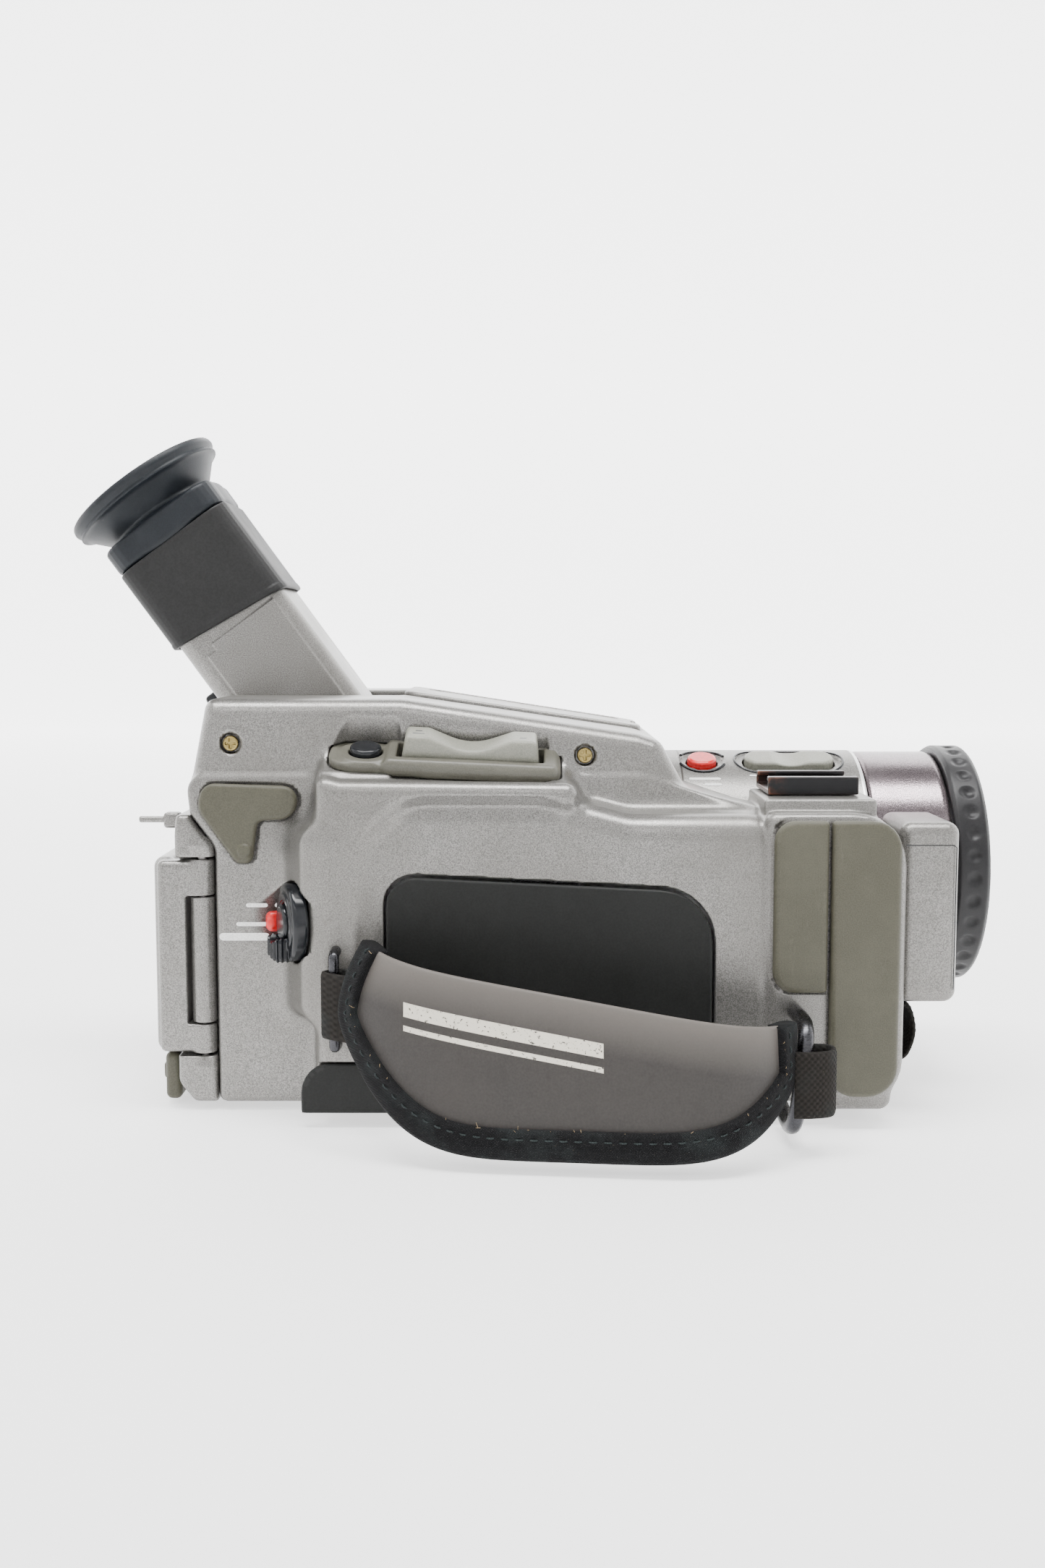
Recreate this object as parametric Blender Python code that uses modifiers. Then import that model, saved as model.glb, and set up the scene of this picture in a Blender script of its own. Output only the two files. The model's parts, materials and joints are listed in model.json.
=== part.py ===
"""A hand-held tape camcorder with a tilting viewfinder and a hand strap.

Metres. +X points out of the lens, -Y is the grip side, +Z is up. The origin is on the
underside of the base plate, and the optical axis runs along X above it.
"""

import math

import bmesh
import bpy
from mathutils import Matrix, Vector

# Driving dimensions
MM = 0.001
GAP = 0.3 * MM
WALL = 2.5 * MM

REAR_X = -83 * MM
REAR_PANEL_X = -76.8 * MM
BODY_FRONT_X = 92 * MM
DECK_Z = 104 * MM
SHELL_Z = 2 * MM
RIGHT_Y = -46 * MM
LEFT_Y = 38 * MM
BULGE_Y = -60 * MM
BULGE_X = (-50 * MM, 60 * MM)
PORT_BLOCK_X = (59 * MM, 92 * MM)
SHELF_Z = 76 * MM

AXIS_Z = 57 * MM
BARREL_R = 31 * MM
BARREL_X = (36 * MM, 91 * MM)
NOSE_R = 30.6 * MM
NOSE_END_X = 112.2 * MM
RING_R = 32.3 * MM
RING_X = (112.5 * MM, 121.5 * MM)

VF_PIVOT = Vector((-50 * MM, 0, 86 * MM))
VF_ANGLE = math.radians(54)
VF_HALF = 16.75 * MM
VF_SLEEVE = (46 * MM, 73 * MM)
VF_EYE = 92 * MM

DOOR_AXIS = Vector((-80.4 * MM, -43.2 * MM, 0))
KNUCKLE_R = 3.1 * MM
BATTERY_LOW = Vector((-86.8 * MM, -35.4 * MM, 20 * MM))
BATTERY_HIGH = Vector((-48.5 * MM, 35.4 * MM, 58.4 * MM))

LID_X = (-33 * MM, 46 * MM)
LID_Z = (12 * MM, 62 * MM)
LID_AXIS = Vector((0, -58.6 * MM, 12.8 * MM))

DIAL_CENTRE = Vector((-55.5 * MM, -52 * MM, 49.5 * MM))
DIAL_NORMAL = Vector((-0.93, -0.37, 0)).normalized()
DIAL_R = 9.6 * MM

TRIM_CENTRE = Vector((-19.7 * MM, -47.6 * MM, 89 * MM))
TRIM_TILT = math.radians(19)
TRIM_FALL = math.radians(2.7)
TRIM_DEPTH = 1.8 * MM

LID_TOP_START = Vector((-31.6 * MM, 0, 103.5 * MM))
LID_TOP_SLOPE = math.atan2(9.6, 63)

TOP_LID_HINGE = Vector((-31.6 * MM, 18.4 * MM, 105.4 * MM))

POWER_FLAP_HINGE = Vector((-88 * MM, -40.6 * MM, 7 * MM))

TRIPOD_X = 25 * MM

SILVER = ((0.47, 0.46, 0.45), 0.38, 0.55)
DARK_SILVER = ((0.30, 0.28, 0.28), 0.30, 0.75)
BLACK_PLASTIC = ((0.035, 0.035, 0.037), 0.5, 0.0)
BLACK_RUBBER = ((0.03, 0.032, 0.036), 0.7, 0.0)
OLIVE = ((0.27, 0.27, 0.23), 0.55, 0.0)
RED = ((0.75, 0.05, 0.04), 0.35, 0.0)
STEEL = ((0.45, 0.44, 0.43), 0.3, 1.0)
BRASS = ((0.55, 0.45, 0.22), 0.35, 1.0)
GLASS = ((0.12, 0.14, 0.2), 0.05, 0.0)
BOARD_GREEN = ((0.05, 0.22, 0.1), 0.6, 0.0)
STRAP_LEATHER = ((0.13, 0.12, 0.115), 0.75, 0.0)
WEBBING = ((0.03, 0.03, 0.03), 0.9, 0.0)

for old in list(bpy.data.objects):
    bpy.data.objects.remove(old, do_unlink=True)
parts = bpy.data.collections.new("camcorder")
cutters = bpy.data.collections.new("cutters")
bpy.context.scene.collection.children.link(parts)
bpy.context.scene.collection.children.link(cutters)
cutters.hide_render = True


def material(name, look):
    """The named material, made on first use from (colour, roughness, metallic)."""
    found = bpy.data.materials.get(name)
    if found:
        return found
    made = bpy.data.materials.new(name)
    made.use_nodes = True
    shader = made.node_tree.nodes["Principled BSDF"]
    colour, roughness, metallic = look
    shader.inputs["Base Color"].default_value = (*colour, 1)
    shader.inputs["Roughness"].default_value = roughness
    shader.inputs["Metallic"].default_value = metallic
    return made


def place(name, mesh, look=None, matrix=None):
    """Links a mesh as a part, or as a cutter when it has no look."""
    made = bpy.data.objects.new(name, mesh)
    if look is None:
        hide(made)
    else:
        parts.objects.link(made)
        mesh.materials.append(material(name + "_finish", look))
        mesh.shade_smooth()
        mesh.set_sharp_from_angle(angle=math.radians(30))
    if matrix is not None:
        made.matrix_world = matrix
    return made


def hide(helper):
    """Makes an object a helper that shapes others and is never shown."""
    for group in list(helper.users_collection):
        group.objects.unlink(helper)
    cutters.objects.link(helper)
    helper.hide_render = True
    helper.display_type = "WIRE"


def box(name, low, high, look=None, bevel=0, segments=2, frame=None):
    """A box between two corners, with its edges rounded by bevel."""
    low, high = Vector(low), Vector(high)
    mesh = bpy.data.meshes.new(name)
    shape = bmesh.new()
    bmesh.ops.create_cube(shape, size=1)
    bmesh.ops.scale(shape, vec=high - low, verts=shape.verts)
    shape.to_mesh(mesh)
    shape.free()
    where = (frame or Matrix.Identity(4)) @ Matrix.Translation((low + high) / 2)
    made = place(name, mesh, look, where)
    if bevel:
        round_edges(made, bevel, segments)
    return made


def round_edges(target, width, segments=2, angle=40):
    """Adds a Bevel modifier to the edges sharper than angle."""
    edge = target.modifiers.new("rounding", "BEVEL")
    edge.width = width
    edge.segments = segments
    edge.limit_method = "ANGLE"
    edge.angle_limit = math.radians(angle)


def cylinder(name, start, end, radius, look=None, sides=32, frame=None, end_radius=None):
    """A cylinder or cone between two points."""
    start, end = Vector(start), Vector(end)
    mesh = bpy.data.meshes.new(name)
    shape = bmesh.new()
    bmesh.ops.create_cone(
        shape,
        cap_ends=True,
        segments=sides,
        radius1=radius,
        radius2=radius if end_radius is None else end_radius,
        depth=(end - start).length,
    )
    shape.to_mesh(mesh)
    shape.free()
    turn = (end - start).to_track_quat("Z", "Y").to_matrix().to_4x4()
    where = (frame or Matrix.Identity(4)) @ Matrix.Translation((start + end) / 2) @ turn
    return place(name, mesh, look, where)


def arc_corner(before, corner, after, radius, steps=4):
    """Points that round one corner of an outline."""
    corner = Vector(corner)
    into = (Vector(before) - corner).normalized()
    out = (Vector(after) - corner).normalized()
    half = into.angle(out) / 2
    reach = min(radius / math.tan(half), (Vector(before) - corner).length * 0.49,
                (Vector(after) - corner).length * 0.49)
    centre = corner + (into + out).normalized() * reach / math.cos(half)
    first, last = corner + into * reach - centre, corner + out * reach - centre
    return [centre + first.slerp(last, i / steps).normalized() * first.length
            for i in range(steps + 1)]


def rounded(outline):
    """An outline of (x, y, radius) corners as points, with its corners as arcs."""
    points = []
    for i, (x, y, radius) in enumerate(outline):
        before, after = outline[i - 1], outline[(i + 1) % len(outline)]
        if radius:
            points += arc_corner(before[:2], (x, y), after[:2], radius)
        else:
            points.append(Vector((x, y)))
    return points


SIDE = Matrix(((1, 0, 0, 0), (0, 0, -1, 0), (0, 1, 0, 0), (0, 0, 0, 1)))
END = Matrix(((0, 0, 1, 0), (1, 0, 0, 0), (0, 1, 0, 0), (0, 0, 0, 1)))
TOP = Matrix.Identity(4)


def slab(name, outline, depth, look=None, plane=SIDE, bevel=0, segments=2, frame=None):
    """An outline extruded from depth[0] to depth[1] along the plane's normal.

    SIDE outlines are (x, z) and their depth runs along -Y, END ones are (y, z) and it runs
    along +X, TOP ones are (x, y) and it runs along +Z.
    """
    curve = bpy.data.curves.new(name, "CURVE")
    curve.dimensions = "2D"
    curve.fill_mode = "BOTH"
    curve.extrude = abs(depth[1] - depth[0]) / 2
    points = rounded(outline)
    spline = curve.splines.new("POLY")
    spline.points.add(len(points) - 1)
    for target, (x, y) in zip(spline.points, points):
        target.co = (x, y, 0, 1)
    spline.use_cyclic_u = True
    middle = Matrix.Translation((0, 0, (depth[0] + depth[1]) / 2))
    where = (frame or Matrix.Identity(4)) @ plane @ middle
    made = meshed(name, curve, look, where)
    if bevel:
        round_edges(made, bevel, segments)
    return made


def meshed(name, curve, look, where):
    """A curve turned into a closed mesh object, so that it can be cut, joined or bevelled."""
    guide = bpy.data.objects.new(name + "_guide", curve)
    cutters.objects.link(guide)
    graph = bpy.context.evaluated_depsgraph_get()
    mesh = bpy.data.meshes.new_from_object(guide.evaluated_get(graph))
    shape = bmesh.new()
    shape.from_mesh(mesh)
    bmesh.ops.remove_doubles(shape, verts=shape.verts, dist=1e-6)
    bmesh.ops.recalc_face_normals(shape, faces=shape.faces)
    shape.to_mesh(mesh)
    shape.free()
    mesh.name = name
    bpy.data.objects.remove(guide)
    return place(name, mesh, look, where)


def rod(name, points, radius, look, cyclic=False):
    """A round rod through the points, with filled ends."""
    curve = bpy.data.curves.new(name, "CURVE")
    curve.dimensions = "3D"
    curve.bevel_depth = radius
    curve.bevel_resolution = 2
    curve.use_fill_caps = True
    spline = curve.splines.new("POLY")
    spline.points.add(len(points) - 1)
    for target, point in zip(spline.points, points):
        target.co = (*point, 1)
    spline.use_cyclic_u = cyclic
    return meshed(name, curve, look, Matrix.Identity(4))


def turned(name, profile, origin, along, look, steps=32, frame=None):
    """A profile of (distance along, radius) points turned about an axis, outer side first.

    A profile that starts on the axis makes a solid piece, any other one makes a ring.
    """
    mesh = bpy.data.meshes.new(name)
    points = [(radius, 0, reach) for reach, radius in profile]
    ring = profile[0][1] > 0
    edges = [(i, (i + 1) % len(points)) for i in range(len(points) - (not ring))]
    mesh.from_pydata(points, edges, [])
    turn = Vector(along).to_track_quat("Z", "Y").to_matrix().to_4x4()
    where = (frame or Matrix.Identity(4)) @ Matrix.Translation(origin) @ turn
    made = place(name, mesh, look, where)
    screw = made.modifiers.new("turn", "SCREW")
    screw.steps = steps
    screw.render_steps = steps
    screw.use_merge_vertices = True
    screw.merge_threshold = 0.00001
    screw.use_smooth_shade = True
    return made


def boolean(target, operation, others):
    for other in others:
        hide(other)
        step = target.modifiers.new(operation.lower(), "BOOLEAN")
        step.operation = operation
        step.solver = "EXACT"
        step.object = other


def cut(target, *others):
    boolean(target, "DIFFERENCE", others)


def join(target, *others):
    boolean(target, "UNION", others)


def pivot(name, position, axes=None):
    """An empty on a joint's axis."""
    made = bpy.data.objects.new(name, None)
    parts.objects.link(made)
    made.matrix_world = Matrix.Translation(position) @ (axes or Matrix.Identity(4))
    return made


def hang(holder, *children):
    """Parents pieces to a joint's empty without moving them."""
    bpy.context.view_layer.update()
    for child in children:
        world = child.matrix_world.copy()
        child.parent = holder
        child.matrix_parent_inverse = holder.matrix_world.inverted()
        child.matrix_world = world


def body_outline(inset=0):
    """The body seen from the side, drawn in by inset."""
    low, top, rear, front = SHELL_Z + inset, DECK_Z - inset, REAR_X + inset, BODY_FRONT_X - inset
    shelf = SHELF_Z - inset
    return [
        (REAR_PANEL_X + inset, low, 0),
        (front - 7 * MM, low, 0),
        (front, low + 8 * MM, 0),
        (front, shelf - 7 * MM, 0),
        (front - 8 * MM, shelf, 0),
        (44 * MM - inset, shelf, 0),
        (33 * MM - inset, 94.4 * MM - inset, 0),
        (-30 * MM, top, 0),
        (rear + 4 * MM, top, 0),
        (rear, 84 * MM, 0),
        (rear, 75.5 * MM + inset, 0),
        (REAR_PANEL_X + inset, 67 * MM + inset, 0),
    ]


def barrel_cutter(radius):
    """Room for the lens barrel, running out of the front of the body."""
    return cylinder(
        "barrel_room", (30 * MM, 0, AXIS_Z), (130 * MM, 0, AXIS_Z), radius, sides=48
    )


def trough_cutter():
    """Room for the viewfinder to lie down in, open at the top and the rear."""
    half = VF_HALF + 2 * MM
    room = box(
        "trough_room",
        (-130 * MM, -half, VF_PIVOT.z - VF_HALF - 1 * MM),
        (VF_PIVOT.x, half, 150 * MM),
    )
    reach = VF_HALF + 0.9 * MM
    front = box("trough_front", (VF_PIVOT.x - MM, -half, VF_PIVOT.z),
                (VF_PIVOT.x + reach, half, 150 * MM))
    nose = cylinder(
        "trough_nose", (VF_PIVOT.x, -half, VF_PIVOT.z), (VF_PIVOT.x, half, VF_PIVOT.z), reach
    )
    return room, front, nose


def battery_room():
    return box(
        "battery_room",
        (-100 * MM, BATTERY_LOW.y - MM, BATTERY_LOW.z - MM),
        (BATTERY_HIGH.x + MM, BATTERY_HIGH.y + MM, BATTERY_HIGH.z + MM),
    )


def top_lid_outline(grow=0):
    rear, front = 19 * MM + grow, 15 * MM + grow
    return [(-grow, -rear, 5 * MM), (64 * MM + grow, -front, 4 * MM),
            (64 * MM + grow, front, 4 * MM), (-grow, rear, 5 * MM)]


def top_lid_rooms():
    """The shallow seat of the lid on the sloping top, and the keypad's pocket under it."""
    seat = slab("top_lid_seat", top_lid_outline(0.5 * MM), (-GAP, 9 * MM), plane=TOP,
                frame=lid_frame())
    pocket = box("keypad_room", (4 * MM, -14 * MM, -2.5 * MM), (58 * MM, 14 * MM, 5 * MM),
                 frame=lid_frame())
    return seat, pocket


def pin_room():
    return cylinder("pin_room", (VF_PIVOT.x, -24.3 * MM, VF_PIVOT.z),
                    (VF_PIVOT.x, 24.3 * MM, VF_PIVOT.z), 2.3 * MM, sides=20)


def lever_room():
    """A slot in the trough's floor for the dioptre lever when the viewfinder lies down."""
    return box("lever_room", (-110 * MM, -5.5 * MM, 62.4 * MM), (-70 * MM, 5.5 * MM, 75 * MM))


def lid_frame():
    """Local +X down the sloping top towards the lens, local +Z out of it."""
    return Matrix.Translation(LID_TOP_START) @ Matrix.Rotation(LID_TOP_SLOPE, 4, "Y")


def tripod_room():
    return cylinder("tripod_room", (TRIPOD_X, 0, -MM), (TRIPOD_X, 0, 12 * MM), 6.3 * MM)


def dial_frame():
    """Local +Z along the dial's axis, local +Y up."""
    side = Vector((0, 0, 1)).cross(DIAL_NORMAL)
    axes = Matrix((side, Vector((0, 0, 1)), DIAL_NORMAL)).transposed().to_4x4()
    return Matrix.Translation(DIAL_CENTRE) @ axes


def trim_frame():
    """Local +Z out of the sloping face that carries the zoom rocker."""
    tilt = Matrix.Rotation(TRIM_FALL, 4, "Y") @ Matrix.Rotation(TRIM_TILT, 4, "X")
    return Matrix.Translation(TRIM_CENTRE) @ tilt


def viewfinder_frame():
    """Local +X along the viewfinder towards the eye, local +Z on its upper side."""
    along = Vector((-math.cos(VF_ANGLE), 0, math.sin(VF_ANGLE)))
    side = Vector((0, -1, 0))
    axes = Matrix((along, side, along.cross(side))).transposed().to_4x4()
    return Matrix.Translation(VF_PIVOT) @ axes


def right_shell():
    """The grip-side casing: deck wall, hand bulge, port block and shoe pedestal."""
    shell = slab("right_shell", body_outline(), (-RIGHT_Y, GAP / 2), SILVER)
    bulge = box("bulge", (BULGE_X[0], BULGE_Y, SHELL_Z + MM),
                (BULGE_X[1], RIGHT_Y + 4 * MM, 81 * MM), bevel=3 * MM)
    crown = box("crown", (-48.5 * MM, -54.5 * MM, 76 * MM), (12 * MM, -30 * MM, 88.4 * MM),
                bevel=2 * MM)
    port = box("port_block", (PORT_BLOCK_X[0] - 5 * MM, BULGE_Y + MM, 7 * MM),
               (PORT_BLOCK_X[1] + 1.2 * MM, RIGHT_Y + 4 * MM, SHELF_Z + MM), bevel=3 * MM)
    pedestal = box("pedestal", (59 * MM, -52 * MM, 70 * MM), (86 * MM, -26 * MM, 80 * MM))
    boss = slab("dial_boss", [(-58.9 * MM, -44 * MM, 0), (-58.9 * MM, -46 * MM, 0),
                              (-53.8 * MM, -59 * MM, 0), (-48 * MM, -59 * MM, 0),
                              (-48 * MM, -44 * MM, 0)], (30 * MM, 68 * MM), plane=TOP)
    join(shell, bulge, crown, port, pedestal, boss)
    rear_wall = 5 * MM
    inside = slab("deck_cavity", [
        (-50 * MM, 4.5 * MM, 0), (85 * MM, 4.5 * MM, 0), (89.5 * MM, 12 * MM, 0),
        (89.5 * MM, 66 * MM, 0), (84 * MM, 73.5 * MM, 0), (42 * MM, 73.5 * MM, 0),
        (31 * MM, 91.5 * MM, 0), (-30.5 * MM, 101 * MM, 0), (-30.5 * MM, 66 * MM, 0),
        (-50 * MM, 66 * MM, 0),
    ], (-RIGHT_Y - rear_wall, -MM))
    bulge_cavity = box("bulge_cavity", (-45.5 * MM, BULGE_Y + WALL, 5.5 * MM),
                       (57 * MM, RIGHT_Y + 6 * MM, 78 * MM))
    crown_cavity = box("crown_cavity", (-30 * MM, -50 * MM, 70 * MM), (8 * MM, -35 * MM, 84 * MM))
    cut(shell, inside, bulge_cavity, crown_cavity, barrel_cutter(BARREL_R + 0.5 * MM),
        battery_room(), tripod_room(), *trough_cutter())
    lid_gap = 0.5 * MM
    window = slab("lid_window", lid_outline(lid_gap), (64 * MM, 55 * MM))
    band = slab("band_pocket", band_outline(GAP), (70 * MM, -BULGE_Y - 2 * MM))
    dial_pocket = cylinder("dial_pocket", (0, 0, -1.2 * MM), (0, 0, 30 * MM), DIAL_R + 0.6 * MM,
                           frame=dial_frame())
    record_hole = cylinder("record_hole", (0, 0, -3.2 * MM), (0, 0, 0), 4.9 * MM,
                           frame=dial_frame())
    trim_pocket = slab("trim_pocket", trim_outline(GAP), (-TRIM_DEPTH - GAP, 20 * MM), plane=TOP,
                       frame=trim_frame())
    cut(shell, window, band, dial_pocket, record_hole, trim_pocket, *top_lid_rooms(), pin_room(),
        lever_room())
    rocker_hole = box("rocker_hole", (-11.7 * MM, -4.8 * MM, -8 * MM),
                      (25.4 * MM, 4.8 * MM, 0), frame=trim_frame())
    photo_hole = cylinder("photo_hole", (-19 * MM, 0, -8 * MM), (-19 * MM, 0, 0), 4.2 * MM,
                          frame=trim_frame())
    port_pocket_rear = box("port_pocket_rear", (62.5 * MM, -70 * MM, 38 * MM),
                           (72 * MM, -55 * MM, 72 * MM))
    port_pocket_front = box("port_pocket_front", (75.6 * MM, -70 * MM, 15 * MM),
                            (89.4 * MM, -55 * MM, 72 * MM))
    port_cavity = box("port_cavity", (60.5 * MM, -56 * MM, 11 * MM), (90 * MM, -39.5 * MM, 73 * MM))
    cover_seat = slab("cover_seat", cover_outlines()[2], (70 * MM, 58.7 * MM))
    jack_hole = cylinder("remote_hole", (-68 * MM, -50 * MM, 78 * MM), (-68 * MM, -42 * MM, 78 * MM),
                         3 * MM)
    screw_holes = [
        cylinder(f"screw_hole_{i}", (x, y - 12 * MM, z), (x, y + 2.5 * MM, z), 2.3 * MM)
        for i, (x, y, z) in enumerate(SCREWS)
    ]
    cut(shell, rocker_hole, photo_hole, port_pocket_rear, port_pocket_front, port_cavity, cover_seat,
        jack_hole, *screw_holes)
    return shell


SCREWS = [(-72.6 * MM, RIGHT_Y, 93 * MM), (15.5 * MM, RIGHT_Y, 90 * MM)]


def case_screws():
    """The two cross-head screws that hold the grip-side casing."""
    for i, (x, y, z) in enumerate(SCREWS):
        head = cylinder(f"case_screw_{i + 1}", (x, y - 0.2 * MM, z), (x, y + 2.1 * MM, z), 1.9 * MM,
                        BRASS, sides=20)
        slots = [
            box(f"slot_{i}_{turn}", (x - w, y - MM, z - h), (x + w, y + 0.7 * MM, z + h))
            for turn, (w, h) in enumerate(((1.2 * MM, 0.3 * MM), (0.3 * MM, 1.2 * MM)))
        ]
        cut(head, *slots)


def lid_outline(grow=0):
    return [
        (LID_X[0] - grow, LID_Z[0] - grow, 2 * MM),
        (LID_X[1] + grow, LID_Z[0] - grow, 2 * MM),
        (LID_X[1] + grow, LID_Z[1] - 4 * MM + grow, 13 * MM),
        (LID_X[0] - grow, LID_Z[1] + grow, 7 * MM),
    ]


def band_outline(grow=0):
    return [
        (-54 * MM - grow, 0, 0),
        (57 * MM + grow, 0, 0),
        (57 * MM + grow, 10.4 * MM + grow, 2 * MM),
        (-36 * MM, 10.4 * MM + grow, 0),
        (-38 * MM, 16 * MM + grow, 0),
        (-54 * MM - grow, 16 * MM + grow, 6 * MM),
    ]


def trim_outline(grow=0):
    """The zoom trim seen along its own normal: a round end for the button, then the rocker frame."""
    return [
        (-28 * MM - grow, -6.8 * MM - grow, 6 * MM),
        (-7 * MM, -6.8 * MM - grow, MM),
        (-3 * MM, -7.6 * MM - grow, MM),
        (29 * MM + grow, -7.6 * MM - grow, 3 * MM),
        (29 * MM + grow, 7.2 * MM + grow, 3 * MM),
        (-28 * MM - grow, 7.2 * MM + grow, 4 * MM),
    ]


def cover_outlines():
    """Upper flap, long flap, and both together with clearance, seen from the grip side."""
    seam = 73.8 * MM
    low, mid, top = 8 * MM, 33.8 * MM, 75.6 * MM
    left, right = 60.4 * MM, 91 * MM
    g = 0.35 * MM
    upper = [(left, mid, 5 * MM), (seam - g, mid, MM), (seam - g, top, MM), (left, top, 5 * MM)]
    long = [(seam + g, low, 6.5 * MM), (right, low, 7.5 * MM), (right, top, 7 * MM),
            (seam + g, top, MM)]
    both = [(left - g, mid - g, 5 * MM), (seam, mid - g, 0), (seam, low - g, 6.5 * MM),
            (right + g, low - g, 7.5 * MM), (right + g, top + g, 7 * MM),
            (left - g, top + g, 5 * MM)]
    return upper, long, both


def left_shell():
    """The casing on the far side, with the same outline and no bulge."""
    shell = slab("left_shell", body_outline(), (-LEFT_Y, -GAP / 2), SILVER)
    inside = slab("left_cavity", [
        (-47.5 * MM, 4.5 * MM, 0), (85 * MM, 4.5 * MM, 0), (89.5 * MM, 12 * MM, 0),
        (89.5 * MM, 66 * MM, 0), (84 * MM, 73.5 * MM, 0), (42 * MM, 73.5 * MM, 0),
        (31 * MM, 91.5 * MM, 0), (-30.5 * MM, 101 * MM, 0), (-30.5 * MM, 66 * MM, 0),
        (-47.5 * MM, 66 * MM, 0),
    ], (-LEFT_Y + WALL, MM))
    cut(shell, inside, barrel_cutter(BARREL_R + 0.5 * MM), battery_room(), tripod_room(),
        *trough_cutter())
    cut(shell, *top_lid_rooms(), pin_room(), lever_room(), button_room())
    return shell


BUTTON_SPOT = Vector((24 * MM, 0, 30 * MM))


def button_room():
    return cylinder("button_room", BUTTON_SPOT + Vector((0, 34 * MM, 0)),
                    BUTTON_SPOT + Vector((0, 50 * MM, 0)), 3.3 * MM, sides=20)


def base():
    """The flat plate that the camcorder stands on, with the threaded tripod bush through it."""
    plate = slab("base_plate", [(-62 * MM, -34 * MM, 8 * MM), (78 * MM, -34 * MM, 8 * MM),
                                (78 * MM, 30 * MM, 8 * MM), (-62 * MM, 30 * MM, 8 * MM)],
                 (0, SHELL_Z - GAP), BLACK_PLASTIC, plane=TOP)
    cut(plate, tripod_room())
    thread_r = 3.2 * MM
    turned("tripod_bush", [(9 * MM, 6 * MM), (0.2 * MM, 6 * MM), (0.2 * MM, thread_r),
                           (9 * MM, thread_r)], (TRIPOD_X, 0, 0), (0, 0, 1), BRASS, steps=24)


def rear_frame():
    """The frame round the battery bay, with the fixed knuckle of the door's hinge."""
    edge = REAR_PANEL_X - GAP
    frame = slab("rear_frame", [
        (edge, SHELL_Z, 0), (edge, 66.6 * MM, 0), (-83.3 * MM, 75.2 * MM, 0),
        (-86.6 * MM, 75.2 * MM, 0), (-87 * MM, 70 * MM, 0), (-87 * MM, 7 * MM, 0),
        (-83 * MM, SHELL_Z, 0),
    ], (-RIGHT_Y, -LEFT_Y), SILVER)
    arm_room = box("arm_room", (-91 * MM, -48 * MM, 14 * MM), (-76 * MM, -39.6 * MM, 64.6 * MM))
    cut(frame, battery_room(), arm_room, *trough_cutter())
    cut(frame, lever_room())
    low, high = 22.5 * MM, 54.5 * MM
    knuckle = cylinder("knuckle", DOOR_AXIS + Vector((0, 0, low)), DOOR_AXIS + Vector((0, 0, high)),
                       KNUCKLE_R, sides=24)
    web = box("web", (DOOR_AXIS.x - 1.6 * MM, DOOR_AXIS.y + MM, low + MM),
              (DOOR_AXIS.x + 1.6 * MM, -39 * MM, high - MM))
    join(frame, knuckle, web)
    cut(frame, door_pin_room())


def door_pin_room():
    return cylinder("door_pin_room", DOOR_AXIS + Vector((0, 0, 8 * MM)),
                    DOOR_AXIS + Vector((0, 0, 70 * MM)), 1.4 * MM, sides=16)


def battery_door():
    """The door over the battery, hinged at the grip-side rear edge, its pin, and the battery."""
    low, high = 14.3 * MM, 64.3 * MM
    hinge = pivot("door_pivot", DOOR_AXIS)
    door = box("battery_door", (-93 * MM, -43.4 * MM, low), (-87.3 * MM, 36.5 * MM, high), SILVER,
               bevel=2 * MM)
    arm = box("door_arm", (-91.5 * MM, -46.2 * MM, low + 0.6 * MM),
              (DOOR_AXIS.x, -40.2 * MM, high - 0.6 * MM), bevel=1.2 * MM)
    gap_room = box("knuckle_gap", (-84.2 * MM, -50 * MM, 22.2 * MM), (-70 * MM, -35 * MM, 54.8 * MM))
    knuckles = [
        cylinder(f"door_knuckle_{i}", DOOR_AXIS + Vector((0, 0, a)), DOOR_AXIS + Vector((0, 0, b)),
                 KNUCKLE_R, sides=24)
        for i, (a, b) in enumerate(((low + 0.3 * MM, 23 * MM), (54 * MM, high - 0.3 * MM)))
    ]
    relief = box("door_relief", (-91 * MM, -35 * MM, low + 4 * MM),
                 (-80 * MM, 32 * MM, high - 4 * MM))
    join(door, arm, *knuckles)
    cut(door, gap_room, door_pin_room(), relief)
    hang(hinge, door)
    cylinder("door_pin", DOOR_AXIS + Vector((0, 0, 8.5 * MM)), DOOR_AXIS + Vector((0, 0, 69 * MM)),
             1.1 * MM, STEEL, sides=16)
    box("battery_pack", BATTERY_LOW, BATTERY_HIGH, BLACK_PLASTIC, bevel=1.5 * MM)
    release = box("battery_release", (-91.5 * MM, -37 * MM, 70.8 * MM),
                  (-87.3 * MM, -33 * MM, 74.8 * MM), SILVER, bevel=MM)
    tip = cylinder("release_tip", (-91 * MM, -35 * MM, 72.9 * MM), (-98 * MM, -35 * MM, 72.9 * MM),
                   0.8 * MM, sides=12)
    join(release, tip)


def rear_flap():
    """The rubber flap over the power jack at the foot of the rear frame."""
    flap = box("power_jack_flap", (-91.5 * MM, -41 * MM, 1.2 * MM), (-87.3 * MM, -25 * MM, 13.6 * MM),
               OLIVE, bevel=1.2 * MM)
    hang(pivot("power_flap_pivot", POWER_FLAP_HINGE), flap)


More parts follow.
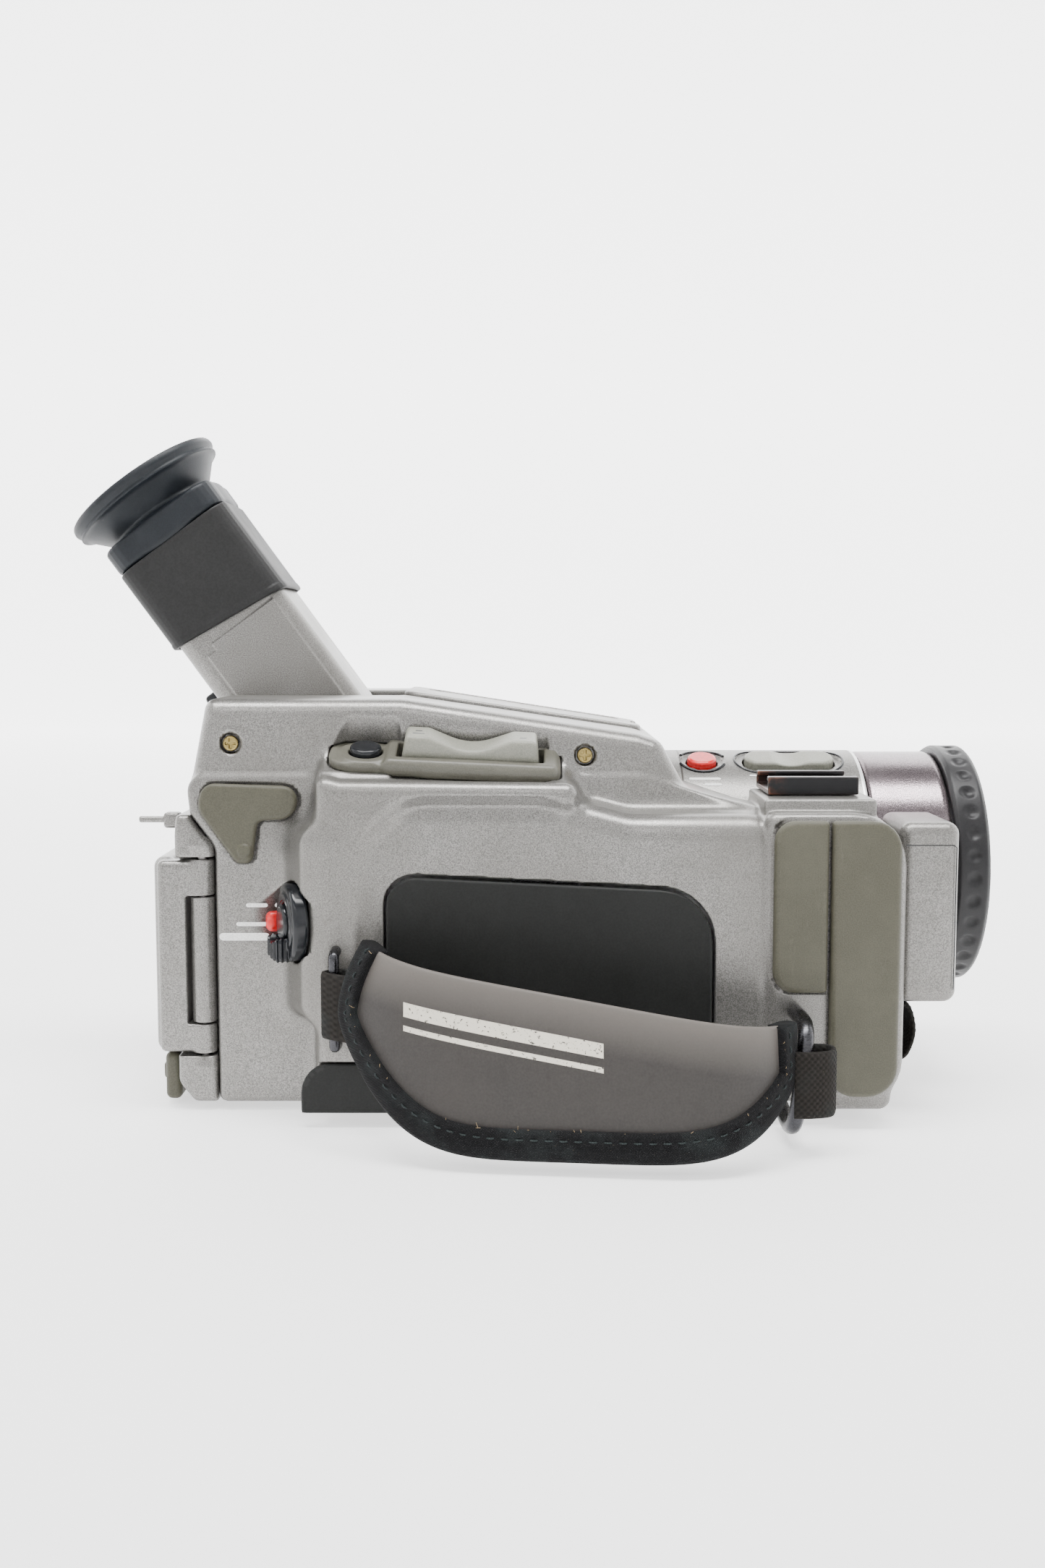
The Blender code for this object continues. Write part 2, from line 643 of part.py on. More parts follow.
def viewfinder():
    """The tilting tube, the sleeve that pulls out of it, and the optics inside."""
    frame = viewfinder_frame()
    tilt = pivot("viewfinder_pivot", VF_PIVOT)
    half = 15.9 * MM
    tube = box("viewfinder_tube", (0, -half, -half), (60 * MM, half, half), SILVER, bevel=4 * MM,
               frame=frame)
    heel = cylinder("tube_heel", (0, -half, 0), (0, half, 0), half, frame=frame)
    hollow = box("tube_hollow", (5 * MM, -13.4 * MM, -13.4 * MM), (70 * MM, 13.4 * MM, 13.4 * MM),
                 frame=frame)
    join(tube, heel)
    cut(tube, hollow, pin_room())
    pin = cylinder("viewfinder_pin", (VF_PIVOT.x, -24 * MM, VF_PIVOT.z),
                   (VF_PIVOT.x, 24 * MM, VF_PIVOT.z), 2 * MM, STEEL, sides=20)
    display = box("viewfinder_display", (30 * MM, -12 * MM, -12 * MM), (33 * MM, 12 * MM, 12 * MM),
                  GLASS, frame=frame)
    lever = box("dioptre_lever", (29.5 * MM, -1.6 * MM, -21 * MM), (35.5 * MM, 1.6 * MM, -16.2 * MM),
                BLACK_PLASTIC, bevel=1.2 * MM, frame=frame)
    outer, inner = 17.3 * MM, 16.3 * MM
    start, end = VF_SLEEVE
    sleeve = box("viewfinder_sleeve", (start, -outer, -outer), (end, outer, outer), BLACK_PLASTIC,
                 bevel=5 * MM, frame=frame)
    bore = box("sleeve_bore", (start - 6 * MM, -inner, -inner), (end + 6 * MM, inner, inner),
               bevel=4 * MM, frame=frame)
    cut(sleeve, bore)
    eyecup = turned("eyecup", [
        (VF_EYE, 21.3 * MM), (90.6 * MM, 22.4 * MM), (88 * MM, 21.4 * MM), (83 * MM, 17.2 * MM),
        (81.3 * MM, 16 * MM), (end + GAP, 17.2 * MM), (end + GAP, 13 * MM), (83.5 * MM, 13 * MM),
        (88.8 * MM, 18.6 * MM),
    ], (0, 0, 0), (1, 0, 0), BLACK_RUBBER, steps=36, frame=frame)
    lens = turned("eyepiece_lens", [
        (71 * MM, 0), (70 * MM, 8 * MM), (68.5 * MM, 15 * MM), (67 * MM, 15 * MM), (66 * MM, 8 * MM),
        (65 * MM, 0),
    ], (0, 0, 0), (1, 0, 0), GLASS, steps=24, frame=frame)
    hang(tilt, tube, pin, display, lever, sleeve, eyecup, lens)


def lens():
    """The grey lens housing with its two controls, the dark nose, the ribbed ring and the glass."""
    wall = 2.5 * MM
    centre = (0, 0, AXIS_Z)
    start, end = BARREL_X
    housing = turned("lens_housing", [
        (end, BARREL_R), (start, BARREL_R), (start, BARREL_R - wall), (end, BARREL_R - wall),
    ], centre, (1, 0, 0), SILVER, steps=48)
    face = Matrix.Translation(centre) @ Matrix.Rotation(math.radians(20), 4, "X")
    hole = cylinder("rec_hole", (48.5 * MM, 0, 20 * MM), (48.5 * MM, 0, 40 * MM), 4.3 * MM,
                    frame=face, sides=24)
    slot = slab("lens_rocker_slot", rocker_slot(0.4 * MM), (25 * MM, 40 * MM), plane=TOP, frame=face)
    cut(housing, hole, slot)
    cylinder("rec_button", (48.5 * MM, 0, 28 * MM), (48.5 * MM, 0, 31.9 * MM), 3.9 * MM, RED,
             sides=24, frame=face)
    rocker = slab("lens_rocker", rocker_slot(0), (28.7 * MM, 32 * MM), OLIVE, plane=TOP, frame=face,
                  bevel=0.6 * MM, segments=1)
    hang(pivot("lens_rocker_pivot", face @ Vector((72 * MM, 0, 29 * MM))), rocker)
    turned("lens_nose", [
        (NOSE_END_X, NOSE_R), (end + GAP, NOSE_R), (end + GAP, 27 * MM), (NOSE_END_X, 27 * MM),
    ], centre, (1, 0, 0), DARK_SILVER, steps=48)
    ring = turned("focus_ring", [
        (RING_X[1], RING_R - 1.2 * MM), (RING_X[1] - 1.2 * MM, RING_R), (RING_X[0], RING_R),
        (RING_X[0], 27 * MM), (RING_X[1], 27 * MM),
    ], centre, (1, 0, 0), BLACK_RUBBER, steps=48)
    hang(pivot("focus_pivot", (RING_X[0], 0, AXIS_Z)), ring)
    turned("optical_tube", [
        (106 * MM, 26.4 * MM), (38 * MM, 26.4 * MM), (38 * MM, 22 * MM), (106 * MM, 22 * MM),
    ], centre, (1, 0, 0), BLACK_PLASTIC, steps=32)
    turned("front_element", [
        (114 * MM, 0), (113 * MM, 9 * MM), (110 * MM, 18 * MM), (106.5 * MM, 24.5 * MM),
        (106.4 * MM, 24.5 * MM), (106.4 * MM, 0),
    ], centre, (1, 0, 0), GLASS, steps=32)
    turned("zoom_group", [
        (66 * MM, 0), (65 * MM, 12 * MM), (63 * MM, 20 * MM), (60 * MM, 20 * MM), (60 * MM, 0),
    ], centre, (1, 0, 0), GLASS, steps=24)
    turned("focus_group", [
        (94 * MM, 0), (94 * MM, 20 * MM), (91 * MM, 20 * MM), (90 * MM, 0),
    ], centre, (1, 0, 0), GLASS, steps=24)
    box("sensor_block", (22 * MM, -12 * MM, 45 * MM), (35 * MM, 12 * MM, 69 * MM), BLACK_PLASTIC)


def rocker_slot(grow):
    half = 4.2 * MM + grow
    return [(60 * MM - grow, -half, half), (84 * MM + grow, -half, half),
            (84 * MM + grow, half, half), (60 * MM - grow, half, half)]


def microphone():
    """The microphone housing in front of the port block, cut to clear the lens."""
    housing = box("microphone_housing", (93.4 * MM, -50 * MM, 28.4 * MM),
                  (108.3 * MM, -8 * MM, 73.8 * MM), SILVER, bevel=3 * MM)
    cut(housing, barrel_cutter(NOSE_R + GAP))


def shoe():
    """The accessory shoe, a folded steel channel on its pedestal."""
    y0, y1, floor, wall, lip, top = -46 * MM, -26 * MM, 80.3 * MM, 1.2 * MM, 2.6 * MM, 84.8 * MM
    slab("accessory_shoe", [
        (y0, floor, 0), (y1, floor, 0), (y1, top, 0), (y1 - lip, top, 0), (y1 - lip, top - wall, 0),
        (y1 - wall, top - wall, 0), (y1 - wall, floor + wall, 0), (y0 + wall, floor + wall, 0),
        (y0 + wall, top - wall, 0), (y0 + lip, top - wall, 0), (y0 + lip, top, 0), (y0, top, 0),
    ], (61 * MM, 83.5 * MM), BLACK_PLASTIC, plane=END)


def zoom_controls():
    """The olive trim on the hand bulge, with the zoom rocker and the photo button."""
    frame = trim_frame()
    trim = slab("zoom_trim", trim_outline(), (-TRIM_DEPTH, 0.4 * MM), OLIVE, plane=TOP, frame=frame,
                bevel=0.5 * MM, segments=1)
    slot = box("trim_slot", (-11.2 * MM, -4.4 * MM, -5 * MM), (24.9 * MM, 4.4 * MM, 5 * MM),
               frame=frame)
    hole = cylinder("trim_hole", (-19 * MM, 0, -5 * MM), (-19 * MM, 0, 5 * MM), 4.2 * MM,
                    frame=frame, sides=24)
    cut(trim, slot, hole)
    rocker = slab("zoom_rocker", [
        (-10.4 * MM, -1.6 * MM, 0), (24.1 * MM, -1.6 * MM, 0), (22.8 * MM, 7.4 * MM, MM),
        (17 * MM, 7.4 * MM, 2 * MM), (6.8 * MM, 3.4 * MM, 18 * MM), (-3.4 * MM, 7.4 * MM, 2 * MM),
        (-9 * MM, 7.4 * MM, MM),
    ], (-3.8 * MM, 3.8 * MM), OLIVE, frame=frame, bevel=0.5 * MM, segments=1)
    hang(pivot("zoom_pivot", frame @ Vector((6.8 * MM, 0, -MM))), rocker)
    button = cylinder("photo_button", (-19 * MM, 0, -2.5 * MM), (-19 * MM, 0, 3 * MM), 3.9 * MM,
                      BLACK_PLASTIC, sides=28, frame=frame)
    round_edges(button, 0.5 * MM, 1)


def power_dial():
    """The power switch: a ring with a ridged thumb lever, its lock button, and the record button."""
    frame = dial_frame()
    dial = cylinder("power_dial", (0, 0, -0.8 * MM), (0, 0, 3.2 * MM), DIAL_R, BLACK_PLASTIC,
                    sides=36, frame=frame)
    lever = box("dial_lever", (-4.5 * MM, -9.3 * MM, MM), (4.5 * MM, -3.5 * MM, 6 * MM),
                bevel=1.5 * MM, segments=1, frame=frame)
    centre_hole = cylinder("dial_hole", (0, 0, -5 * MM), (0, 0, 10 * MM), 4.9 * MM, frame=frame,
                           sides=28)
    lock_hole = box("lock_hole", (-9 * MM, -3.4 * MM, 0.3 * MM), (-5.1 * MM, 2.2 * MM, 9 * MM),
                    frame=frame)
    join(dial, lever)
    cut(dial, centre_hole, lock_hole)
    lock = box("lock_button", (-8.6 * MM, -3 * MM, 1.8 * MM), (-5.5 * MM, 1.8 * MM, 6.2 * MM), RED,
               bevel=1.2 * MM, frame=frame)
    record = cylinder("record_button", (0, 0, -0.8 * MM), (0, 0, 4.4 * MM), 4.5 * MM,
                      BLACK_PLASTIC, sides=28, frame=frame)
    round_edges(record, 0.6 * MM, 1)
    hang(pivot("dial_pivot", DIAL_CENTRE), dial, lock, record)


def cassette_lid():
    """The black lid on the hand bulge, hinged along its foot, and the band below it."""
    skin = -BULGE_Y + 0.2 * MM
    lid = slab("cassette_lid", lid_outline(), (skin - 2.3 * MM, skin), BLACK_PLASTIC,
               bevel=0.4 * MM, segments=1)
    hang(pivot("lid_pivot", LID_AXIS), lid)
    band = slab("grip_band", band_outline(), (skin - 1.8 * MM, skin), BLACK_PLASTIC)
    foot = box("band_foot", (-60 * MM, -70 * MM, -5 * MM), (60 * MM, -50 * MM, 3.6 * MM))
    cut(band, foot)


def deck():
    """The tape deck behind the lid: chassis, head drum and the two reel spindles."""
    box("deck_chassis", (-43 * MM, -43 * MM, 8 * MM), (52 * MM, -41.4 * MM, 77 * MM), STEEL)
    cylinder("head_drum", (6 * MM, -43.3 * MM, 66.3 * MM), (6 * MM, -55 * MM, 66.3 * MM), 10.8 * MM,
             STEEL, sides=36)
    for name, x in (("supply_reel", -10 * MM), ("takeup_reel", 24 * MM)):
        cylinder(name, (x, -43.3 * MM, 30 * MM), (x, -46.5 * MM, 30 * MM), 3.5 * MM, BLACK_PLASTIC,
                 sides=20)
    box("main_board", (-44 * MM, -6 * MM, 8 * MM), (16 * MM, -4.4 * MM, 62 * MM), BOARD_GREEN)


def port_covers():
    """Two rubber flaps over the jacks on the port block, and the flap on the rear panel."""
    upper, long, _ = cover_outlines()
    low, high = 59 * MM, 62.4 * MM
    seam = (73.8 * MM, -62.4 * MM, 50 * MM)
    for name, outline in (("upper_port_flap", upper), ("long_port_flap", long)):
        flap = slab(name, outline, (low, high), OLIVE, bevel=MM)
        hang(pivot(name + "_pivot", seam), flap)
    board = box("jack_board", (61 * MM, -54 * MM, 14 * MM), (89 * MM, -52.4 * MM, 72 * MM),
                BOARD_GREEN)
    jacks = [
        turned(f"jack_{i}", [(5 * MM, 4 * MM), (0, 4 * MM), (0, 2 * MM), (5 * MM, 2 * MM)],
               (x * MM, -53 * MM, z * MM), (0, -1, 0), STEEL, steps=20)
        for i, (x, z) in enumerate(((67.2, 62), (67.2, 46), (82.5, 60), (82.5, 42), (82.5, 24)))
    ]
    join(board, *jacks)
    rear = slab("remote_jack_flap", [
        (-79 * MM, 83 * MM, 3.5 * MM), (-55.6 * MM, 82.4 * MM, 3.5 * MM),
        (-56 * MM, 75.4 * MM, 3.5 * MM), (-64.6 * MM, 72.6 * MM, 2 * MM),
        (-67 * MM, 63.4 * MM, 1.8 * MM), (-71 * MM, 63.4 * MM, 1.8 * MM),
        (-80 * MM, 76.5 * MM, 3.5 * MM),
    ], (-RIGHT_Y + GAP, -RIGHT_Y + 2.8 * MM), OLIVE, bevel=0.8 * MM)
    hang(pivot("remote_flap_pivot", (-67 * MM, -47 * MM, 82.6 * MM)), rear)


def top_controls():
    """The flip lid on the sloping top, and the keypad under it."""
    frame = lid_frame()
    lid = slab("control_lid", top_lid_outline(), (0, 1.8 * MM), SILVER, plane=TOP, frame=frame,
               bevel=0.5 * MM, segments=1)
    hang(pivot("control_lid_pivot", TOP_LID_HINGE), lid)
    pad = box("keypad", (5 * MM, -13.4 * MM, -2.2 * MM), (57 * MM, 13.4 * MM, -1.2 * MM),
              BLACK_RUBBER, frame=frame)
    keys = [
        cylinder(f"key_{i}", (x * MM, y * MM, -1.6 * MM), (x * MM, y * MM, -0.5 * MM), 3 * MM,
                 frame=frame, sides=16)
        for i, (x, y) in enumerate(((14, -6), (24, -6), (34, -6), (44, -6), (24, 6), (34, 6)))
    ]
    join(pad, *keys)


def left_controls():
    """The control panel on the far side, with its button and exposure dial."""
    panel_y = LEFT_Y + GAP
    panel = slab("control_panel", [
        (-8 * MM, 16 * MM, 6 * MM), (64 * MM, 16 * MM, 6 * MM), (64 * MM, 44 * MM, 6 * MM),
        (-8 * MM, 44 * MM, 6 * MM),
    ], (-panel_y - 1.5 * MM, -panel_y), DARK_SILVER)
    cut(panel, button_room())
    cylinder("white_balance_button", BUTTON_SPOT + Vector((0, panel_y, 0)),
             BUTTON_SPOT + Vector((0, panel_y + 3 * MM, 0)), 3 * MM, BLACK_PLASTIC, sides=20)
    top = panel_y + 1.5 * MM
    dial = cylinder("exposure_dial", (50 * MM, top + GAP, 30 * MM), (50 * MM, top + 4 * MM, 30 * MM),
                    8 * MM, BLACK_PLASTIC, sides=28)
    round_edges(dial, 0.6 * MM, 1)


PAD_X = (-38 * MM, 61.4 * MM)


def pad_point(across, up):
    """A point of the strap pad's middle surface, both shares from 0 to 1."""
    x = PAD_X[0] + (PAD_X[1] - PAD_X[0]) * across
    side = abs(2 * across - 1)
    low = 3.6 * MM + (26 * MM if across < 0.5 else 14 * MM) * side ** 5
    top = (48.5 - 17 * across) * MM
    bow = 1 - side ** 5
    y = -69 * MM - 13.5 * MM * bow - 5 * MM * (1 - up) * bow - 11 * MM * across
    return (x, y, low + (top - low) * up)


def ribbon(name, centre, thickness, depth, plane):
    """A band of webbing that follows a centre line, extruded across its width."""
    line = smooth([(x, y, 0) for x, y in centre])
    sides = []
    for before, here, after in zip([line[0]] + line[:-1], line, line[1:] + [line[-1]]):
        along = (after - before).normalized()
        across = Vector((-along.y, along.x, 0)) * thickness / 2
        sides.append((here + across, here - across))
    outline = [a for a, _ in sides] + [b for _, b in reversed(sides)]
    return slab(name, [(p.x, p.y, 0) for p in outline], depth, WEBBING, plane=plane)


def hand_strap():
    """The padded strap, its webbing at both ends, and the steel bars that hold it."""
    columns, rows = 16, 6
    mesh = bpy.data.meshes.new("strap_pad")
    points = [pad_point(i / columns, j / rows) for i in range(columns + 1) for j in range(rows + 1)]
    faces = []
    for i in range(columns):
        for j in range(rows):
            corner = i * (rows + 1) + j
            faces.append((corner, corner + rows + 1, corner + rows + 2, corner + 1))
    mesh.from_pydata(points, [], faces)
    pad = place("strap_pad", mesh, STRAP_LEATHER)
    skin = pad.modifiers.new("thickness", "SOLIDIFY")
    skin.thickness = 3.6 * MM
    skin.offset = 0
    rod("front_strap_bar", smooth([
        (66 * MM, -60.4 * MM, 29 * MM), (66 * MM, -74 * MM, 29 * MM), (65 * MM, -79 * MM, 23 * MM),
        (63.6 * MM, -79 * MM, 10 * MM), (63 * MM, -74 * MM, 5 * MM), (63 * MM, -60.4 * MM, 5.6 * MM),
    ]), 1.9 * MM, STEEL)
    rod("rear_strap_bar", smooth([
        (-45 * MM, -60.4 * MM, 44 * MM), (-45 * MM, -64.5 * MM, 43.6 * MM),
        (-45 * MM, -65.4 * MM, 41 * MM), (-45 * MM, -65.4 * MM, 24 * MM),
        (-45 * MM, -64.5 * MM, 21.4 * MM), (-45 * MM, -60.4 * MM, 21 * MM),
    ]), 1.3 * MM, STEEL)


def strap_webbing():
    """The webbing loops round both strap bars, and the loose tab at the front foot."""
    mm_points = {
        "rear_webbing": [(-40.3, -66.2), (-42, -63.6), (-45, -62.9), (-47.5, -65.4), (-45, -68),
                         (-40.3, -69)],
        "front_webbing": [(62.3, -82.4), (66, -82.6), (70.6, -81.2), (72, -78), (70.4, -75.4),
                          (66, -75.4), (63.2, -75.6)],
        "front_tab": [(94.2, 26.6), (97.6, 26.2), (99.2, 20), (97.4, 14), (94.2, 12.4)],
    }
    spans = {"rear_webbing": (24, 40, TOP), "front_webbing": (9.5, 25, TOP),
             "front_tab": (31, 44, SIDE)}
    for name, centre in mm_points.items():
        low, high, plane = spans[name]
        ribbon(name, [(x * MM, y * MM) for x, y in centre], 1.3 * MM, (low * MM, high * MM), plane)


def smooth(points, steps=4):
    """A Catmull-Rom curve through the points."""
    line = [Vector(points[0])] + [Vector(p) for p in points] + [Vector(points[-1])]
    made = []
    for a, b, c, d in zip(line, line[1:], line[2:], line[3:]):
        for i in range(steps):
            t = i / steps
            made.append(0.5 * (2 * b + (c - a) * t + (2 * a - 5 * b + 4 * c - d) * t ** 2
                               + (3 * b - a - 3 * c + d) * t ** 3))
    made.append(line[-1])
    return made


right_shell()
left_shell()
case_screws()
base()
rear_frame()
battery_door()
rear_flap()
viewfinder()
lens()
microphone()
shoe()
zoom_controls()
power_dial()
cassette_lid()
deck()
port_covers()
top_controls()
left_controls()
hand_strap()
strap_webbing()
bpy.context.view_layer.update()
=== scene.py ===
import json
import math

import bmesh
import bpy
import numpy as np
from mathutils import Matrix, Vector

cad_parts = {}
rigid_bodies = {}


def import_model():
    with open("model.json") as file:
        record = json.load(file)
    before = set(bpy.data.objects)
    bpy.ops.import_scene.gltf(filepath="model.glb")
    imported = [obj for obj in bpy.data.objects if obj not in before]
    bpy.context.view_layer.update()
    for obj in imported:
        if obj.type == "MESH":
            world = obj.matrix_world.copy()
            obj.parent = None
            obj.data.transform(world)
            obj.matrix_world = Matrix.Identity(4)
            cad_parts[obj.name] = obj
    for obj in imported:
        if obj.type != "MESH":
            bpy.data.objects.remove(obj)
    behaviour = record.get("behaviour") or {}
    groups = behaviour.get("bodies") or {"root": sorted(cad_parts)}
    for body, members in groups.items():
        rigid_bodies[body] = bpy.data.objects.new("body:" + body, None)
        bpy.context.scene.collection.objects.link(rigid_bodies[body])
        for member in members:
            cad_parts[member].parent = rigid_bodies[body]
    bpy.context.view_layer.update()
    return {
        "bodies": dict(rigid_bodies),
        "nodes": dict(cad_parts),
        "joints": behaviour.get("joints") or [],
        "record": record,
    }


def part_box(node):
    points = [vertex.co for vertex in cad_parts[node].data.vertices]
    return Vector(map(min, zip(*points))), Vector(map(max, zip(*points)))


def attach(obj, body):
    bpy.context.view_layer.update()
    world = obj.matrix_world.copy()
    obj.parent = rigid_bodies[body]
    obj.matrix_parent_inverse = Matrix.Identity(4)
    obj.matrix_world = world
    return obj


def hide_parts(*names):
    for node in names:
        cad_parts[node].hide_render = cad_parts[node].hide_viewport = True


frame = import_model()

MM = 0.001
NORMAL_STEP = 0.12  # half the distance over which a skin's normals are measured


# ---------------------------------------------------------------- solid fields, in millimetres
# A field is a function of x, y, z arrays. It is negative inside and grows by distance outside.

def length(*parts):
    return np.sqrt(sum(p * p for p in parts))


def rounded_max(a, b, r):
    """The larger of two distances, with the edge where they meet rounded to radius r."""
    a, b = a + r, b + r
    return np.minimum(np.maximum(a, b), 0) + length(np.maximum(a, 0), np.maximum(b, 0)) - r


def blend_min(a, b, k):
    """Union with a fillet of about k."""
    h = np.maximum(k - np.abs(a - b), 0) / k
    return np.minimum(a, b) - h * h * k / 4


def blend_max(a, b, k):
    """Intersection with a fillet of about k."""
    return -blend_min(-a, -b, k)


def polygon(points, u, v):
    """Signed distance to a closed outline."""
    best = np.full(np.broadcast(u, v).shape, 1e9)
    sign = np.ones(best.shape)
    for (ax, ay), (bx, by) in zip(points, points[1:] + points[:1]):
        ex, ey = bx - ax, by - ay
        wx, wy = u - ax, v - ay
        t = np.clip((wx * ex + wy * ey) / (ex * ex + ey * ey), 0, 1)
        best = np.minimum(best, (wx - ex * t) ** 2 + (wy - ey * t) ** 2)
        up, down = (v >= ay) & (v < by), (v < ay) & (v >= by)
        left = ex * wy - ey * wx
        sign = np.where((up & (left > 0)) | (down & (left <= 0)), -sign, sign)
    return sign * np.sqrt(best)


def arc_outline(corners, steps=6):
    """Corners (x, y, radius) as points, with arcs at the corners that have a radius."""
    made = []
    for i, (x, y, r) in enumerate(corners):
        if not r:
            made.append((x, y))
            continue
        here = Vector((x, y))
        to_last = Vector(corners[i - 1][:2]) - here
        to_next = Vector(corners[(i + 1) % len(corners)][:2]) - here
        half = to_last.angle(to_next) / 2
        reach = min(r / math.tan(half), to_last.length * 0.49, to_next.length * 0.49)
        to_last.normalize()
        to_next.normalize()
        r = reach * math.tan(half)
        centre = here + (to_last + to_next).normalized() * r / math.sin(half)
        a, b = here + to_last * reach - centre, here + to_next * reach - centre
        turn = a.angle_signed(b)
        for k in range(steps + 1):
            p = centre + Matrix.Rotation(-turn * k / steps, 2) @ a
            made.append((p.x, p.y))
    return made


def outline_field(corners):
    """Signed distance to an outline, read from a fine table of it."""
    points = arc_outline(corners)
    low, high = np.min(points, axis=0) - 6, np.max(points, axis=0) + 6
    step = 0.15 if (high - low).max() < 60 else 0.4
    us, vs = (np.arange(a, b + step, step) for a, b in zip(low, high))
    table = polygon(points, us[:, None], vs[None, :])

    def field(u, v):
        a, b = (u - us[0]) / step, (v - vs[0]) / step
        ca, cb = np.clip(a, 0, len(us) - 1.001), np.clip(b, 0, len(vs) - 1.001)
        i, j = ca.astype(np.int32), cb.astype(np.int32)
        s, t = ca - i, cb - j
        near = ((1 - s) * ((1 - t) * table[i, j] + t * table[i, j + 1])
                + s * ((1 - t) * table[i + 1, j] + t * table[i + 1, j + 1]))
        return near + length(a - ca, b - cb) * step
    return field


def oblong(u0, v0, u1, v1, r):
    """The corners of a rectangle with corner radius r."""
    return [(u0, v0, r), (u1, v0, r), (u1, v1, r), (u0, v1, r)]


def extruded(corners, plane, low, high, r=0.5):
    """An outline along the axis that plane leaves out, with its rims rounded by r."""
    outline = outline_field(corners)
    middle, half = (low + high) / 2, abs(high - low) / 2

    def field(x, y, z):
        u, v, w = {"xz": (x, z, y), "yz": (y, z, x), "xy": (x, y, z)}[plane]
        return rounded_max(outline(u, v), np.abs(w - middle) - half, r)
    return field


def revolved(corners):
    """An outline of (x, radius) corners turned about the X axis."""
    outline = outline_field(corners)
    return lambda x, y, z: outline(x, length(y, z))


def block(low, high, r=0.5):
    """A box between two corners, with all its edges rounded by r."""
    middle = [(a + b) / 2 for a, b in zip(low, high)]
    half = [(b - a) / 2 - r for a, b in zip(low, high)]

    def field(x, y, z):
        q = [np.abs(c - m) - h for c, m, h in zip((x, y, z), middle, half)]
        inner = np.minimum(np.maximum(np.maximum(q[0], q[1]), q[2]), 0)
        return length(*(np.maximum(c, 0) for c in q)) + inner - r
    return field


def drum(start, end, radius, r=0.5):
    """A cylinder between two points."""
    start, end = np.array(start, float), np.array(end, float)
    axis = end - start
    size = np.linalg.norm(axis)
    axis /= size

    def field(x, y, z):
        px, py, pz = x - start[0], y - start[1], z - start[2]
        along = px * axis[0] + py * axis[1] + pz * axis[2]
        away = np.sqrt(np.maximum(px * px + py * py + pz * pz - along * along, 0))
        return rounded_max(away - radius, np.abs(along - size / 2) - size / 2, r)
    return field


def union(k, *fields):
    """The fields joined, with fillets of about k."""
    def field(x, y, z):
        made = fields[0](x, y, z)
        for other in fields[1:]:
            made = blend_min(made, other(x, y, z), k)
        return made
    return field


def minus(k, solid, *cutters):
    """The solid less its cutters, with edges rounded by about k."""
    def field(x, y, z):
        made = solid(x, y, z)
        for other in cutters:
            made = blend_max(made, -other(x, y, z), k)
        return made
    return field


def both(k, a, b):
    """What two fields share."""
    return lambda x, y, z: blend_max(a(x, y, z), b(x, y, z), k)


def framed(field, matrix):
    """The field in a frame of its own: matrix takes its coordinates to the row's, in mm."""
    m = np.array(matrix.inverted())

    def moved(x, y, z):
        return field(*(m[i][0] * x + m[i][1] * y + m[i][2] * z + m[i][3] for i in range(3)))
    return moved


def net(field, low, high, cell):
    """Vertices and quads on the field's surface, by naive surface nets and Newton steps."""
    axes = [np.arange(a - 2 * cell, b + 2.5 * cell, cell) for a, b in zip(low, high)]
    x, y, z = np.meshgrid(*axes, indexing="ij", sparse=True)
    value = np.ascontiguousarray(np.broadcast_to(field(x, y, z), [len(a) for a in axes]))
    inside = value < 0
    corners = [(i, j, k) for i in (0, 1) for j in (0, 1) for k in (0, 1)]
    nx, ny, nz = (n - 1 for n in value.shape)

    def part(array, i, j, k):
        return array[i:i + nx, j:j + ny, k:k + nz]
    count = sum(part(inside, *c).astype(np.int8) for c in corners)
    cells = np.argwhere((count > 0) & (count < 8))
    number = np.full((nx, ny, nz), -1, np.int64)
    number[tuple(cells.T)] = np.arange(len(cells))
    total, hits = np.zeros((len(cells), 3)), np.zeros(len(cells))
    for a in corners:
        for axis in range(3):
            if a[axis]:
                continue
            b = tuple(c + (n == axis) for n, c in enumerate(a))
            va = value[tuple((cells + a).T)]
            vb = value[tuple((cells + b).T)]
            cross = (va < 0) != (vb < 0)
            t = np.where(cross, va / np.where(cross, va - vb, 1), 0)
            point = cells + np.array(a, float)
            point[:, axis] += t
            total += point * cross[:, None]
            hits += cross
    points = total / hits[:, None] * cell + [a[0] for a in axes]
    faces = []
    for axis in range(3):
        u, v = (axis + 1) % 3, (axis + 2) % 3
        a = [slice(None)] * 3
        b = [slice(None)] * 3
        a[axis], b[axis] = slice(0, -1), slice(1, None)
        cross = inside[tuple(a)] != inside[tuple(b)]
        spots = np.argwhere(cross)
        spots = spots[(spots[:, u] > 0) & (spots[:, v] > 0)]
        spots = spots[(spots[:, u] < value.shape[u] - 1) & (spots[:, v] < value.shape[v] - 1)]
        around = []
        for du, dv in ((0, 0), (1, 0), (1, 1), (0, 1)):
            at = spots.copy()
            at[:, u] -= du
            at[:, v] -= dv
            around.append(number[tuple(at.T)])
        quads = np.stack(around, 1)
        out = inside[tuple(spots.T)]
        quads[~out] = quads[~out][:, ::-1]
        faces.append(quads)
    slope = gradient(field, points, 0.05)
    steep = np.maximum((slope ** 2).sum(1), 0.2)[:, None]
    for _ in range(2):
        move = field(*points.T)[:, None] * slope / steep
        points -= np.clip(move, -cell / 2, cell / 2)
    return points, np.concatenate(faces)


def gradient(field, points, step):
    """The field's slope at each point, measured over step to either side."""
    return np.stack([(field(*(points + step * way).T) - field(*(points - step * way).T))
                     / (2 * step) for way in np.eye(3)], 1)


